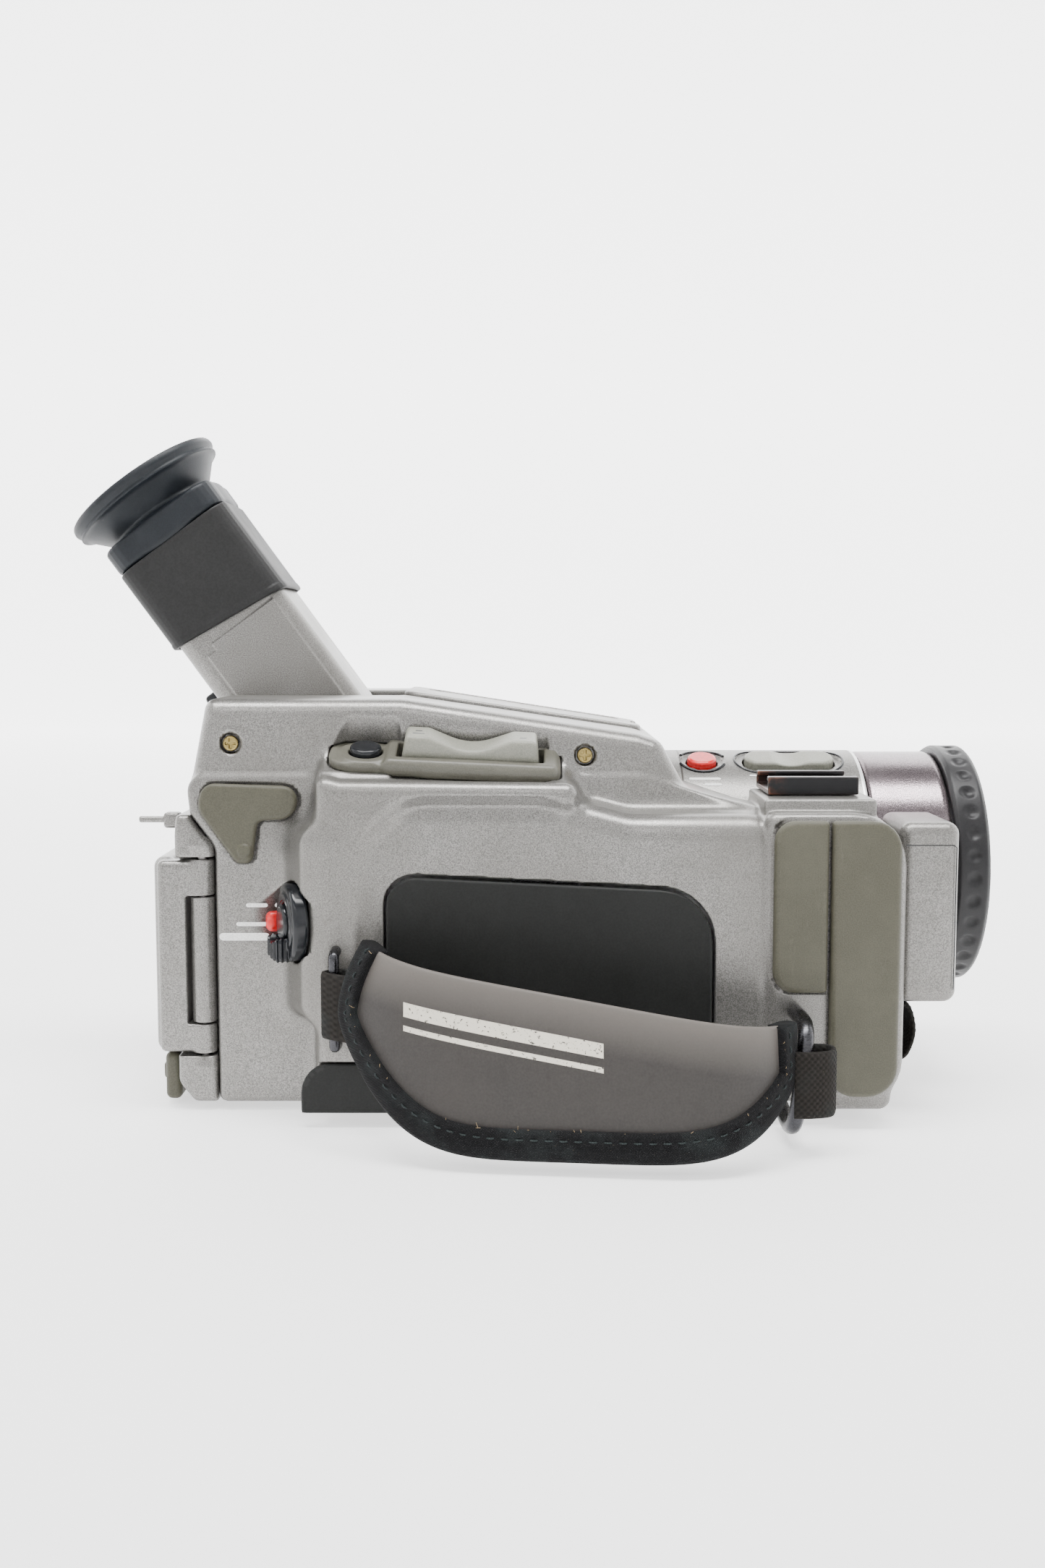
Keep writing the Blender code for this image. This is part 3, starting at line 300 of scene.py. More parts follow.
def mesh_of(name, points, faces):
    """A smooth mesh of quads, from points in mm."""
    mesh = bpy.data.meshes.new(name)
    mesh.vertices.add(len(points))
    mesh.vertices.foreach_set("co", (points * MM).astype(np.float32).ravel())
    mesh.loops.add(faces.size)
    mesh.loops.foreach_set("vertex_index", faces.astype(np.int32).ravel())
    mesh.polygons.add(len(faces))
    mesh.polygons.foreach_set("loop_start", np.arange(0, faces.size, 4, dtype=np.int32))
    mesh.update(calc_edges=True)
    mesh.validate()
    mesh.shade_smooth()
    return mesh


# ---------------------------------------------------------------- shared dimensions, as in the CAD
AXIS_Z = 57
VF_PIVOT = Vector((-50, 0, 86))
DOOR_AXIS = (-80.4, -43.2)
DIAL_CENTRE = Vector((-55.5, -52, 49.5))
SCREWS = [(-72.6, 93), (15.5, 90)]


def dial_frame():
    """The power dial's frame, facing back and to the near side."""
    normal = Vector((-0.93, -0.37, 0)).normalized()
    side = Vector((0, 0, 1)).cross(normal)
    axes = Matrix((side, Vector((0, 0, 1)), normal)).transposed().to_4x4()
    return Matrix.Translation(DIAL_CENTRE) @ axes


TRIM = (Matrix.Translation((-19.7, -47.6, 89)) @ Matrix.Rotation(math.radians(2.7), 4, "Y")
        @ Matrix.Rotation(math.radians(19), 4, "X"))
DIAL = dial_frame()
LENS_TOP = Matrix.Translation((0, 0, AXIS_Z)) @ Matrix.Rotation(math.radians(20), 4, "X")
TOP_LID = (Matrix.Translation((-31.6, 0, 103.5))
           @ Matrix.Rotation(math.atan2(9.6, 63), 4, "Y"))
VF_ANGLE = math.radians(54)
VIEWFINDER = Matrix.Translation(VF_PIVOT) @ Matrix((
    (-math.cos(VF_ANGLE), 0, math.sin(VF_ANGLE), 0), (0, -1, 0, 0),
    (math.sin(VF_ANGLE), 0, math.cos(VF_ANGLE), 0), (0, 0, 0, 1)))

BODY = [(-76.8, 2, 3), (85, 2, 5), (92, 10, 5), (92, 69, 8), (84, 76, 6), (44, 76, 5),
        (34.5, 93.4, 4), (29, 95.2, 3), (-30, 104, 20), (-79, 104, 3), (-83, 84, 12),
        (-83, 75.5, 0.8), (-76.8, 67, 5)]
LID = [(-33, 12, 2), (46, 12, 2), (46, 58, 13), (-33, 62, 7)]


def grown(corners, by):
    """The outline moved outwards by about by, for outlines that are nearly rectangles."""
    cx = sum(c[0] for c in corners) / len(corners)
    cy = sum(c[1] for c in corners) / len(corners)
    return [(x + math.copysign(by, x - cx), y + math.copysign(by, y - cy), r and r + by)
            for x, y, r in corners]


BAND = [(-54, -4, 0), (57, -4, 0), (57, 10.4, 2), (-36, 10.4, 1), (-39, 16, 2), (-54, 16, 8)]
TRIM_OUTLINE = [(-28, -6.8, 6), (-7, -6.8, 2), (-3, -7.6, 2), (29, -7.6, 3), (29, 7.2, 3),
                (-28, 7.2, 4)]
REMOTE_FLAP = [(-79.2, 83.4, 5), (-55.4, 82.6, 4.5), (-56, 74.6, 4.5), (-65.6, 74, 2),
               (-67, 63.4, 2), (-71, 63.4, 2.4), (-80.6, 77, 5)]


def trough():
    """Room for the viewfinder to lie down in, and its pin and lever."""
    reach = 17.65
    x, z = VF_PIVOT.x, VF_PIVOT.z
    return [block((-130, -18.75, 68.25), (x, 18.75, 150), 0.4),
            block((x - 1, -18.75, z), (x + reach, 18.75, 150), 0.4),
            drum((x, -18.75, z), (x, 18.75, z), reach, 0.1),
            drum((x, -24.3, z), (x, 24.3, z), 2.3, 0.1),
            block((-110, -5.5, 62.4), (-70, 5.5, 75), 0.4)]


def top_seat():
    """Room for the top lid and the keypad well under it."""
    corners = [(-0.5, -19.5, 5), (64.5, -15.5, 4), (64.5, 15.5, 4), (-0.5, 19.5, 5)]
    return [framed(extruded(corners, "xy", -0.3, 9, 0.1), TOP_LID),
            framed(block((4, -14, -2.5), (58, 14, 5), 0.5), TOP_LID)]


def barrel_room(radius=31.5):
    """Room for the lens barrel, along its axis."""
    return drum((30, 0, AXIS_Z), (140, 0, AXIS_Z), radius, 0.3)


BATTERY_ROOM = block((-120, -36.4, 19), (-47.5, 36.4, 59.4), 1.5)
TRIPOD_ROOM = drum((25, 0, -5), (25, 0, 12), 6.3, 0.2)
INSIDE = [(-50, 4.5, 2), (85, 4.5, 3), (89.5, 12, 3), (89.5, 66, 3), (84, 73.5, 2), (42, 73.5, 2),
          (31, 91.5, 2), (-30.5, 101, 1), (-30.5, 66, 1), (-50, 66, 1)]


def right_shell():
    """The near half of the case: deck, side panel, hand bulge, rear column and port block."""
    deck = extruded(BODY, "xz", -44.9, 12, 4.5)
    panel = extruded([(-76.8, 2, 2), (92, 2, 5), (92, 76, 8), (60, 76, 2), (30, 85.5, 6),
                      (-84, 85.5, 8), (-83, 75.5, 1), (-76.8, 67, 5)], "xz", -46, 0, 1.6)
    bulge = extruded([(-50, 3, 6), (63, 3, 6), (63, 76.4, 8), (26, 76.4, 12), (10, 80.6, 8),
                      (-50, 80.6, 6)], "xz", -58.6, -30, 6)
    band = [(-50, 4, 5), (-37.4, 4, 1), (-37.4, 73, 14), (-26, 79.6, 14), (4, 79.6, 8),
            (13, 77, 3), (14, 84.4, 4), (-44, 85, 4), (-50, 86.5, 5)]
    column = extruded(band, "xz", -60.1, -36, 3.4)
    crown = framed(block((-29.9, -8.6, -22), (31, 14, -1.0), 1.6), TRIM)
    boss = extruded([(-59.5, -42, 0), (-59.5, -46.2, 1), (-53.2, -59, 3), (-46, -59, 2),
                     (-46, -42, 0)], "xy", 26, 73, 4)
    port = extruded([(58.6, 6.6, 4), (93.2, 6.6, 9), (93.2, 77.2, 13), (58.6, 77.2, 3)],
                    "xz", -59.1, -40, 3)
    foot = block((70, -57, 3), (91, -40, 14), 3)
    pedestal = block((59, -54, 60), (86.4, -26, 80), 0.8)
    grip = union(2.2, union(3.6, bulge, column), crown)
    front = union(0.7, union(3, port, foot), pedestal)
    solid = union(1.2, union(5, union(1.5, deck, panel), grip, boss), front)
    hollow = [
        minus(0.2, extruded(INSIDE, "xz", -41, 5, 1), block((-60, -50, 79), (60, -38, 115), 1)),
        block((-45.5, -57.3, 5.5), (57, -36, 71), 2),
        block((-30, -50, 68), (8, -35, 82.4), 2),
        block((60.5, -56, 11), (90, -39.5, 73), 1),
        barrel_room(), BATTERY_ROOM, TRIPOD_ROOM, *trough(), *top_seat(),
        block((62.5, -70, 38), (72, -55, 72), 1), block((75.6, -70, 15), (89.4, -55, 72), 1),
        drum((-68, -50, 78), (-68, -42, 78), 3, 0.2),
    ]
    cuts = [
        extruded(grown(LID, 0.55), "xz", -70, -55, 0.1),
        extruded(grown(BAND, 0.3), "xz", -70, -57.9, 0.1),
        framed(drum((0, 0, -1.2), (0, 0, 30), 10.1, 0.1), DIAL),
        framed(drum((0, 0, -3.2), (0, 0, 2), 4.9, 0.1), DIAL),
        *(framed(room, TRIM) for room in (
            extruded(grown(TRIM_OUTLINE, 0.3), "xy", -2.1, 1.1, 0.1),
            block((-12.2, -9, -2), (25.9, 4.9, 20), 1),
            extruded([(-28.3, -9, 1), (-11, -9, 1), (-11, 6, 1), (-28.3, 6, 6)], "xy", 0, 20, 1),
            block((-11.7, -4.8, -8), (25.4, 4.8, 2), 0.3),
            drum((-19, 0, -8), (-19, 0, 2), 4.2, 0.2))),
        port_seat(0.35),
        *(drum((x, -60, z), (x, -42.4, z), 2.6, 0.1) for x, z in SCREWS),
        extruded(grown(REMOTE_FLAP, 0.1), "xz", -50, -45.7, 0.1),
    ]
    solid = minus(0.5, minus(0.5, solid, *hollow), *cuts)
    return lambda x, y, z: rounded_max(solid(x, y, z), y + 0.15, 0.25)


def port_seat(grow):
    """The shallow seat of the two port flaps, grown by a gap all round."""
    g = grow
    corners = [(60.4 - g, 33.8 - g, 5), (73.8, 33.8 - g, 0.3), (73.8, 8 - g, 6), (91 + g, 8 - g, 7.5),
               (91 + g, 75.6 + g, 7), (60.4 - g, 75.6 + g, 5)]
    return extruded(corners, "xz", -70, -58.7, 0.1)


# ---------------------------------------------------------------- making pieces
def enter(name, mesh, look, slot, body, nodes=()):
    """Links a mesh as a piece that rides on a body and stands for the CAD nodes."""
    made = bpy.data.objects.new(name, mesh)
    bpy.context.scene.collection.objects.link(made)
    if not mesh.materials:
        mesh.materials.append(look)
    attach(made, body)
    if nodes:
        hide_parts(*nodes)
    return made


def thinned(mesh, keep):
    """The mesh with its flat areas made of fewer triangles."""
    helper = bpy.data.objects.new("helper", mesh)
    bpy.context.scene.collection.objects.link(helper)
    helper.modifiers.new("fewer", "DECIMATE").ratio = keep
    graph = bpy.context.evaluated_depsgraph_get()
    made = bpy.data.meshes.new_from_object(helper.evaluated_get(graph))
    bpy.data.objects.remove(helper)
    return made


def sculpt(node, field, look, slot, body="camcorder_body", cell=0.6, keep=1, frame_of=None):
    """A solid field as a smooth mesh that stands for the node, with the field's own normals."""
    low, high = (np.array(corner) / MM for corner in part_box(node))
    if frame_of is not None:
        back = frame_of.inverted()
        spots = [back @ Vector((x, y, z)) for x in (low[0], high[0]) for y in (low[1], high[1])
                 for z in (low[2], high[2])]
        low, high = np.min(spots, axis=0), np.max(spots, axis=0)
    points, faces = net(field, low - 1, high + 1, cell * (1))
    mesh = mesh_of(node + "_mesh", points, faces)
    if keep < 1:
        mesh = thinned(mesh, keep)
        points = np.empty(len(mesh.vertices) * 3, np.float32)
        mesh.vertices.foreach_get("co", points)
        points = points.reshape(-1, 3).astype(float) / MM
    normals = gradient(field, points, NORMAL_STEP)
    normals /= np.maximum(np.linalg.norm(normals, axis=1), 1e-6)[:, None]
    if frame_of is not None:
        placing = Matrix.LocRotScale(frame_of.translation * MM, frame_of.to_quaternion(), None)
        mesh.transform(placing)
        normals = normals @ np.array(frame_of.to_3x3()).T
    mesh.shade_smooth()
    mesh.normals_split_custom_set_from_vertices(normals.tolist())
    return enter(node + "_skin", mesh, look, slot, body, [node])


def tube_points(points, steps):
    """A Catmull-Rom curve through the points."""
    line = [Vector(p) for p in points]
    line = [line[0]] + line + [line[-1]]
    made = []
    for a, b, c, d in zip(line, line[1:], line[2:], line[3:]):
        for i in range(steps):
            t = i / steps
            made.append(0.5 * (2 * b + (c - a) * t + (2 * a - 5 * b + 4 * c - d) * t ** 2
                               + (3 * b - a - 3 * c + d) * t ** 3))
    return made + [line[-1]]


def wires(name, lines, radius, look, slot, nodes=(), cyclic=False, resolution=3):
    """Round rods along lines of points in mm, as one mesh that rides on the case."""
    curve = bpy.data.curves.new(name, "CURVE")
    curve.dimensions = "3D"
    curve.bevel_depth = radius * MM
    curve.bevel_resolution = resolution
    curve.use_fill_caps = not cyclic
    for line in lines:
        spline = curve.splines.new("POLY")
        spline.points.add(len(line) - 1)
        for target, point in zip(spline.points, line):
            target.co = (point[0] * MM, point[1] * MM, point[2] * MM, 1)
        spline.use_cyclic_u = cyclic
    helper = bpy.data.objects.new(name, curve)
    bpy.context.scene.collection.objects.link(helper)
    graph = bpy.context.evaluated_depsgraph_get()
    mesh = bpy.data.meshes.new_from_object(helper.evaluated_get(graph))
    bpy.data.objects.remove(helper)
    shape = bmesh.new()
    shape.from_mesh(mesh)
    bmesh.ops.remove_doubles(shape, verts=shape.verts, dist=1e-6)
    shape.to_mesh(mesh)
    shape.free()
    mesh.shade_smooth()
    mesh.set_sharp_from_angle(angle=math.radians(50))
    return enter(name, mesh, look, slot, "camcorder_body", nodes)


def marks(name, bars, look, slot, matrix, body="camcorder_body", thick=0.08):
    """Thin printed bars with round ends, (x, y, width, height) in the frame, as one mesh."""
    shape = bmesh.new()
    for x, y, width, height in bars:
        r = height / 2
        rim = []
        for side, start in ((1, -90), (-1, 90)):
            for i in range(9):
                a = math.radians(start + 22.5 * i)
                rim.append((x + side * (width / 2 - r) + r * math.cos(a), y + r * math.sin(a)))
        lower = [shape.verts.new((u, v, -0.05)) for u, v in rim]
        upper = [shape.verts.new((u, v, thick)) for u, v in rim]
        shape.faces.new(upper)
        shape.faces.new(lower[::-1])
        for i in range(len(rim)):
            j = (i + 1) % len(rim)
            shape.faces.new((lower[i], lower[j], upper[j], upper[i]))
    mesh = bpy.data.meshes.new(name)
    shape.to_mesh(mesh)
    shape.free()
    mesh.transform(Matrix.Scale(MM, 4) @ matrix)
    return enter(name, mesh, look, slot, body)


# ---------------------------------------------------------------- materials
class Look:
    """A procedural material, with a few words for the nodes that it is made of."""

    def __init__(self, name, roughness=0.5, metallic=0.0, **more):
        self.material = bpy.data.materials.new(name)
        self.material.use_nodes = True
        self.tree = self.material.node_tree
        self.shader = self.tree.nodes["Principled BSDF"]
        self.shader.inputs["Roughness"].default_value = roughness
        self.shader.inputs["Metallic"].default_value = metallic
        for key, value in more.items():
            self.shader.inputs[key.replace("_", " ")].default_value = value
        self.place = self.tree.nodes.new("ShaderNodeTexCoord").outputs["Object"]
        self.height = None

    def node(self, kind, values=(), **settings):
        made = self.tree.nodes.new("ShaderNode" + kind)
        for key, value in settings.items():
            setattr(made, key, value)
        for key, value in dict(values).items():
            self.feed(made.inputs[key], value)
        return made

    def feed(self, socket, value):
        if isinstance(value, bpy.types.NodeSocket):
            self.tree.links.new(value, socket)
        else:
            socket.default_value = value

    def maths(self, operation, a, b=0.0, c=0.0):
        return self.node("Math", {0: a, 1: b, 2: c}, operation=operation).outputs[0]

    def axis(self, letter):
        """One coordinate in mm."""
        parts = self.node("SeparateXYZ", {0: self.place})
        return self.maths("MULTIPLY", parts.outputs[letter], 1000.0)

    def noise(self, size, detail=2.0, stretch=None, roughness=0.5):
        """Noise with features of about size mm, from 0 to 1."""
        place = self.place
        if stretch:
            place = self.node("Mapping", {"Vector": place, "Scale": stretch}).outputs[0]
        return self.node("TexNoise", {"Vector": place, "Scale": 1000 / size, "Detail": detail,
                                      "Roughness": roughness}).outputs["Fac"]

    def ramp(self, value, low, high, to_low=0.0, to_high=1.0):
        return self.node("MapRange", {"Value": value, "From Min": low, "From Max": high,
                                      "To Min": to_low, "To Max": to_high}).outputs[0]

    def mix(self, share, a, b):
        a, b = ((*c, 1) if isinstance(c, tuple) and len(c) == 3 else c for c in (a, b))
        made = self.node("Mix", {0: share, 6: a, 7: b}, data_type="RGBA")
        return made.outputs[2]

    def line(self, letter, at, half):
        """1 within half mm of a plane, falling to 0 over a little more."""
        away = self.maths("ABSOLUTE", self.maths("SUBTRACT", self.axis(letter), at))
        return self.ramp(away, half, half + 0.12, 1.0, 0.0)

    def colour(self, value):
        self.feed(self.shader.inputs["Base Color"], value)

    def rough(self, value):
        self.feed(self.shader.inputs["Roughness"], value)

    def bump(self, height, depth):
        """Adds relief of depth mm for a height from 0 to 1."""
        values = {"Height": height, "Distance": depth * MM, "Strength": 1.0}
        if self.height is not None:
            values["Normal"] = self.height
        self.height = self.node("Bump", values).outputs[0]
        self.feed(self.shader.inputs["Normal"], self.height)


def paint(name, tone, metallic=0.66, roughness=0.33, seams=(), dirt=0.5):
    """Metallic paint: flakes, faint stains, grime, lighter convex edges, painted shade in concave
    creases, and darker seam lines.
    """
    look = Look(name, roughness, metallic)
    flakes = look.noise(0.28, 1.0)
    fine = look.noise(0.7, 2.0)
    cloud = look.noise(34.0, 4.0, roughness=0.6)
    spots = look.ramp(look.noise(5.5, 5.0, roughness=0.72), 0.64, 0.78, 0.0, dirt)
    light = tuple(min(1.0, c * 1.5) for c in tone)
    dark = tuple(c * 0.58 for c in tone)
    base = look.mix(look.ramp(flakes, 0.3, 0.7), dark, light)
    stain, grime = ((tone[0] * r, tone[1] * g, tone[2] * b)
                    for r, g, b in ((0.72, 0.7, 0.66), (0.55, 0.5, 0.44)))
    base = look.mix(look.ramp(cloud, 0.35, 0.7, 0.0, 0.55), base, stain)
    base = look.mix(spots, base, grime)
    edge = look.node("NewGeometry").outputs["Pointiness"]
    base = look.mix(look.ramp(edge, 0.53, 0.6, 0.0, 0.45), base, tuple(c * 1.5 for c in tone))
    # painted shade: the paint darkens in concave creases and recesses
    base = look.mix(look.ramp(edge, 0.46, 0.4, 0.0, 0.55), base, tuple(c * 0.4 for c in tone))
    for letter, at, half, colour in seams:
        base = look.mix(look.line(letter, at, half), base, colour)
    look.colour(base)
    look.rough(look.ramp(cloud, 0.3, 0.75, roughness - 0.05, roughness + 0.09))
    look.bump(fine, 0.02)
    look.bump(flakes, 0.012)
    return look.material


def plastic(name, tone, roughness=0.5, grain=0.35, depth=0.03, dust=0.2, worn=0.25, **more):
    """Moulded plastic or rubber: spark-eroded grain, dust in it, and rubbed edges."""
    look = Look(name, roughness, **more)
    grains = look.noise(grain, 2.0)
    cloud = look.noise(18.0, 5.0, roughness=0.65)
    scuffs = look.noise(3.0, 4.0, (1.0, 1.0, 0.25), 0.7)
    pale = tuple(min(1.0, c * 1.5 + 0.02) for c in tone)
    base = look.mix(look.ramp(grains, 0.35, 0.65), tuple(c * 0.85 for c in tone),
                    tuple(min(1.0, c * 1.12) for c in tone))
    base = look.mix(look.ramp(cloud, 0.45, 0.75, 0.0, dust), base, pale)
    base = look.mix(look.ramp(scuffs, 0.62, 0.75, 0.0, dust), base, pale)
    edge = look.node("NewGeometry").outputs["Pointiness"]
    base = look.mix(look.ramp(edge, 0.53, 0.62, 0.0, worn), base, pale)
    look.colour(base)
    look.rough(look.ramp(cloud, 0.3, 0.75, max(roughness - 0.07, 0.05), roughness + 0.08))
    look.bump(grains, depth)
    return look.material


def metal(name, tone, roughness=0.3, brushed=(1.0, 1.0, 12.0), tarnish=(0.2, 0.15, 0.1), spread=0.3):
    """Bare metal: brushed strands and spots of tarnish."""
    look = Look(name, roughness, 1.0)
    strands = look.noise(0.9, 3.0, brushed)
    spots = look.ramp(look.noise(2.6, 5.0, roughness=0.7), 0.55, 0.75, 0.0, spread)
    base = look.mix(look.ramp(strands, 0.3, 0.7), tuple(c * 0.85 for c in tone), tone)
    look.colour(look.mix(spots, base, tarnish))
    look.rough(look.ramp(strands, 0.3, 0.7, roughness - 0.06, roughness + 0.08))
    look.bump(strands, 0.01)
    return look.material


def glass(name, tint, coat_sheen):
    """Coated glass: dark from outside, with a faint coloured sheen painted in towards glancing angles,
    and specks of dust.
    """
    look = Look(name, 0.05, 0.0, Coat_Weight=1.0, Coat_Roughness=0.03, IOR=1.6)
    dust = look.ramp(look.noise(1.4, 4.0, roughness=0.8), 0.68, 0.8, 0.0, 0.25)
    facing = look.node("LayerWeight", {"Blend": 0.35}).outputs["Facing"]
    # painted sheen: the coating's reflection colour is mixed into the base colour by facing angle
    base = look.mix(facing, tint, coat_sheen)
    look.colour(look.mix(dust, base, (0.3, 0.3, 0.3)))
    look.rough(look.ramp(look.noise(9.0, 3.0), 0.4, 0.7, 0.03, 0.12))
    return look.material


lens_glass = glass("lens_glass", (0.006, 0.007, 0.012), (0.05, 0.03, 0.12))
SILVER_TONE = (0.2, 0.195, 0.186)
SEAM_DARK = (0.05, 0.045, 0.04)
casing = paint("casing_paint", SILVER_TONE)
lens_paint = paint("lens_paint", SILVER_TONE, seams=[
    ("X", 42.6, 0.2, SEAM_DARK), ("X", 90.4, 0.4, (0.75, 0.75, 0.75))])
mauve_paint = paint("nose_paint", (0.2, 0.168, 0.18), 0.9, 0.24, dirt=0.2)
dark_paint = paint("panel_paint", (0.2, 0.19, 0.19), 0.7, 0.35)
black_plastic = plastic("black_moulding", (0.006, 0.006, 0.0065), 0.45, 0.4, 0.04,
                        Specular_IOR_Level=0.3)
lid_black = plastic("lid_moulding", (0.009, 0.0095, 0.009), 0.5, 0.45, 0.05, dust=0.05,
                    Specular_IOR_Level=0.2)
gloss_black = plastic("gloss_black", (0.006, 0.007, 0.009), 0.22, 0.6, 0.008, dust=0.08, worn=0.3,
                      Specular_IOR_Level=0.35)
sleeve_grey = plastic("sleeve_moulding", (0.013, 0.013, 0.013), 0.5, 0.5, 0.06, dust=0.1,
                      Specular_IOR_Level=0.22)
eye_rubber = plastic("eyecup_rubber", (0.008, 0.010, 0.013), 0.45, 0.3, 0.02, dust=0.15, worn=0.3,
                     Specular_IOR_Level=0.25)
ring_rubber = plastic("ring_rubber", (0.010, 0.0095, 0.0105), 0.42, 0.35, 0.02, dust=0.2, worn=0.4,
                      Specular_IOR_Level=0.28)
olive = plastic("olive_rubber", (0.062, 0.059, 0.041), 0.5, 0.3, 0.025, dust=0.3, worn=0.3,
                Specular_IOR_Level=0.3)
olive_trim = plastic("olive_trim", (0.088, 0.085, 0.067), 0.4, 0.3, 0.015, dust=0.25, worn=0.35,
                     Specular_IOR_Level=0.4)
olive_rocker = plastic("olive_rocker", (0.2, 0.2, 0.165), 0.42, 0.3, 0.015, dust=0.3, worn=0.3)
red_gloss = plastic("red_gloss", (0.6, 0.012, 0.014), 0.22, 0.8, 0.004, dust=0.05, worn=0.2)
white_print = plastic("white_print", (0.78, 0.78, 0.76), 0.5, 0.3, 0.005, dust=0.1, worn=0.0)
ghost_print = plastic("moulded_sign", (0.2, 0.195, 0.19), 0.5, 0.3, 0.005)
steel = metal("steel", (0.52, 0.5, 0.49))
dark_steel = metal("dark_steel", (0.06, 0.06, 0.065), 0.28, tarnish=(0.16, 0.14, 0.12))
brass = metal("brass", (0.34, 0.26, 0.1), 0.32, (1, 1, 1), (0.12, 0.09, 0.04), 0.6)


# ---------------------------------------------------------------- the casing halves and the frame
def left_shell():
    """The far half of the case, with its ridge, panel groove and vents."""
    deck = extruded(BODY, "xz", -12, 38, 4.5)
    ridge = extruded([(-60, 8, 6), (80, 8, 6), (80, 50, 14), (-60, 62, 8)], "xz", 20, 38, 1.2)
    hollow = [extruded([(x + 2.5 * (x == -50), z, r) for x, z, r in INSIDE], "xz", -5, 35.5, 1),
              barrel_room(), BATTERY_ROOM, TRIPOD_ROOM, *trough(), *top_seat(),
              drum((24, 34, 30), (24, 50, 30), 3.3, 0.1)]
    rear = extruded([(-76.8, 2, 1), (-60, 2, 1), (-60, 67, 1), (-76.8, 67, 2)], "xz", 12, 38, 1.8)
    vents = [block((-66 + 5.2 * i, 37, 68), (-63.2 + 5.2 * i, 50, 84), 0.9) for i in range(7)]
    groove = minus(0.2, block((-64, 37.4, 4), (83, 60, 66), 6), block((-63.2, 30, 4.8),
                                                                      (82.2, 60, 65.2), 6))
    solid = minus(0.5, union(1, deck, ridge, rear), *hollow, groove, *vents)
    return lambda x, y, z: rounded_max(solid(x, y, z), 0.15 - y, 0.25)


def knuckle(low, high, top=0.4, r=3.1):
    """One barrel of the battery door's hinge."""
    return drum((*DOOR_AXIS, low), (*DOOR_AXIS, high), r, top)


def door_pin_room():
    """The bore for the battery door's pin."""
    return drum((*DOOR_AXIS, 8), (*DOOR_AXIS, 70), 1.4, 0.05)


def rear_frame():
    """The narrow rear column, with the battery door's middle knuckle."""
    body = extruded([(-77.1, 2, 0.6), (-77.1, 66.6, 5), (-83.3, 75.2, 0.6),
                     (-86.6, 75.2, 1.2), (-87, 70, 3), (-87, 7, 4), (-83, 2, 2)], "xz", -46, 38, 1.8)
    cuts = [BATTERY_ROOM, block((-91, -60, 14), (-76, -39.6, 64.6), 0.4), *trough()]
    solid = minus(0.4, union(1, body, knuckle(64.9, 70.2, 2.9, 3.3), knuckle(8.6, 13.8, 2.9, 3.3)),
                  *cuts)
    x, y = DOOR_AXIS
    web = block((x - 1.6, y + 1, 23.5), (x + 1.6, -38, 53.5), 0.3)
    return minus(0.2, union(0.5, solid, knuckle(22.5, 54.5), web), door_pin_room())


def battery_door():
    """The door on its two outer knuckles, with a sunk panel and finger ridges."""
    x, y = DOOR_AXIS
    door = block((-93, -43.4, 14.3), (-87.3, 36.5, 64.3), 2.6)
    arm = block((-91.5, -46.1, 14.9), (x, -40.2, 63.7), 1.6)
    ridges = [block((-95, 14 + 2.6 * i, 22), (-92.5, 15.2 + 2.6 * i, 56), 0.5) for i in range(7)]
    panel = minus(0.2, block((-96, -32, 18), (-92.6, 33, 60), 4), block((-96, -31, 19),
                                                                         (-90, 32, 59), 4))
    cuts = [block((-84.2, -60, 22.2), (-70, -35, 54.8), 0.3), door_pin_room(),
            block((-91, -35, 18.3), (-80, 32, 60.3), 1)]
    solid = union(0.8, door, arm, knuckle(14.6, 22.2), knuckle(54.8, 64))
    return minus(0.4, solid, *cuts, *ridges, panel)


sculpt("right_shell", right_shell(), casing, "casing", cell=0.8, keep=0.5)
sculpt("left_shell", left_shell(), casing, "casing", cell=0.9, keep=0.5)
sculpt("rear_frame", rear_frame(), casing, "casing", cell=0.6, keep=0.6)
sculpt("battery_door", battery_door(), casing, "casing", "battery_door", cell=0.6, keep=0.6)
sculpt("battery_release", union(0.5, block((-91.5, -37, 70.8), (-87.3, -33, 74.8), 0.9),
                                drum((-91, -35, 72.9), (-98, -35, 72.9), 0.8, 0.4)),
       casing, "casing", "battery_release", cell=0.25)
tab = block((-93, -35.6, 5.2), (-89, -30.4, 9.6), 0.9)
sculpt("power_jack_flap", union(0.8, block((-91.5, -41, 1.2), (-87.3, -25, 13.6), 1.7), tab),
       olive, "olive_rubber", "power_jack_flap", cell=0.4)
sculpt("base_plate", minus(0.3, extruded(oblong(-62, -34, 78, 30, 8), "xy", 0, 1.7, 0.5),
                           TRIPOD_ROOM,
                           *(block((-55 + 6 * i, -28, -1), (-53.2 + 6 * i, 24, 0.5), 0.3)
                             for i in range(11))),
       black_plastic, "black_plastic", cell=0.7)


# ---------------------------------------------------------------- viewfinder
def viewfinder_tube():
    """The square tube that tilts, in the viewfinder's own frame, along its X."""
    body = block((-2, -15.9, -15.9), (60, 15.9, 15.9), 4.6)
    heel = drum((0, -15.9, 0), (0, 15.9, 0), 15.9, 2)
    side = block((-7, -16.25, -10.6), (44.6, 16.25, 12.6), 0.35)
    notch = block((42.4, -20, -12), (50, 20, -7.6), 0.2)
    rail = block((6, -9, -16.6), (44, 9, -14), 0.7)
    pin = drum((0, -30, 0), (0, 30, 0), 2.3, 0.1)
    solid = union(0.4, union(1, body, heel), minus(0.2, side, notch), rail)
    return minus(0.3, solid, block((5, -13.4, -13.4), (70, 13.4, 13.4), 2), pin)


def square(half, r):
    return oblong(-half, -half, half, half, r)


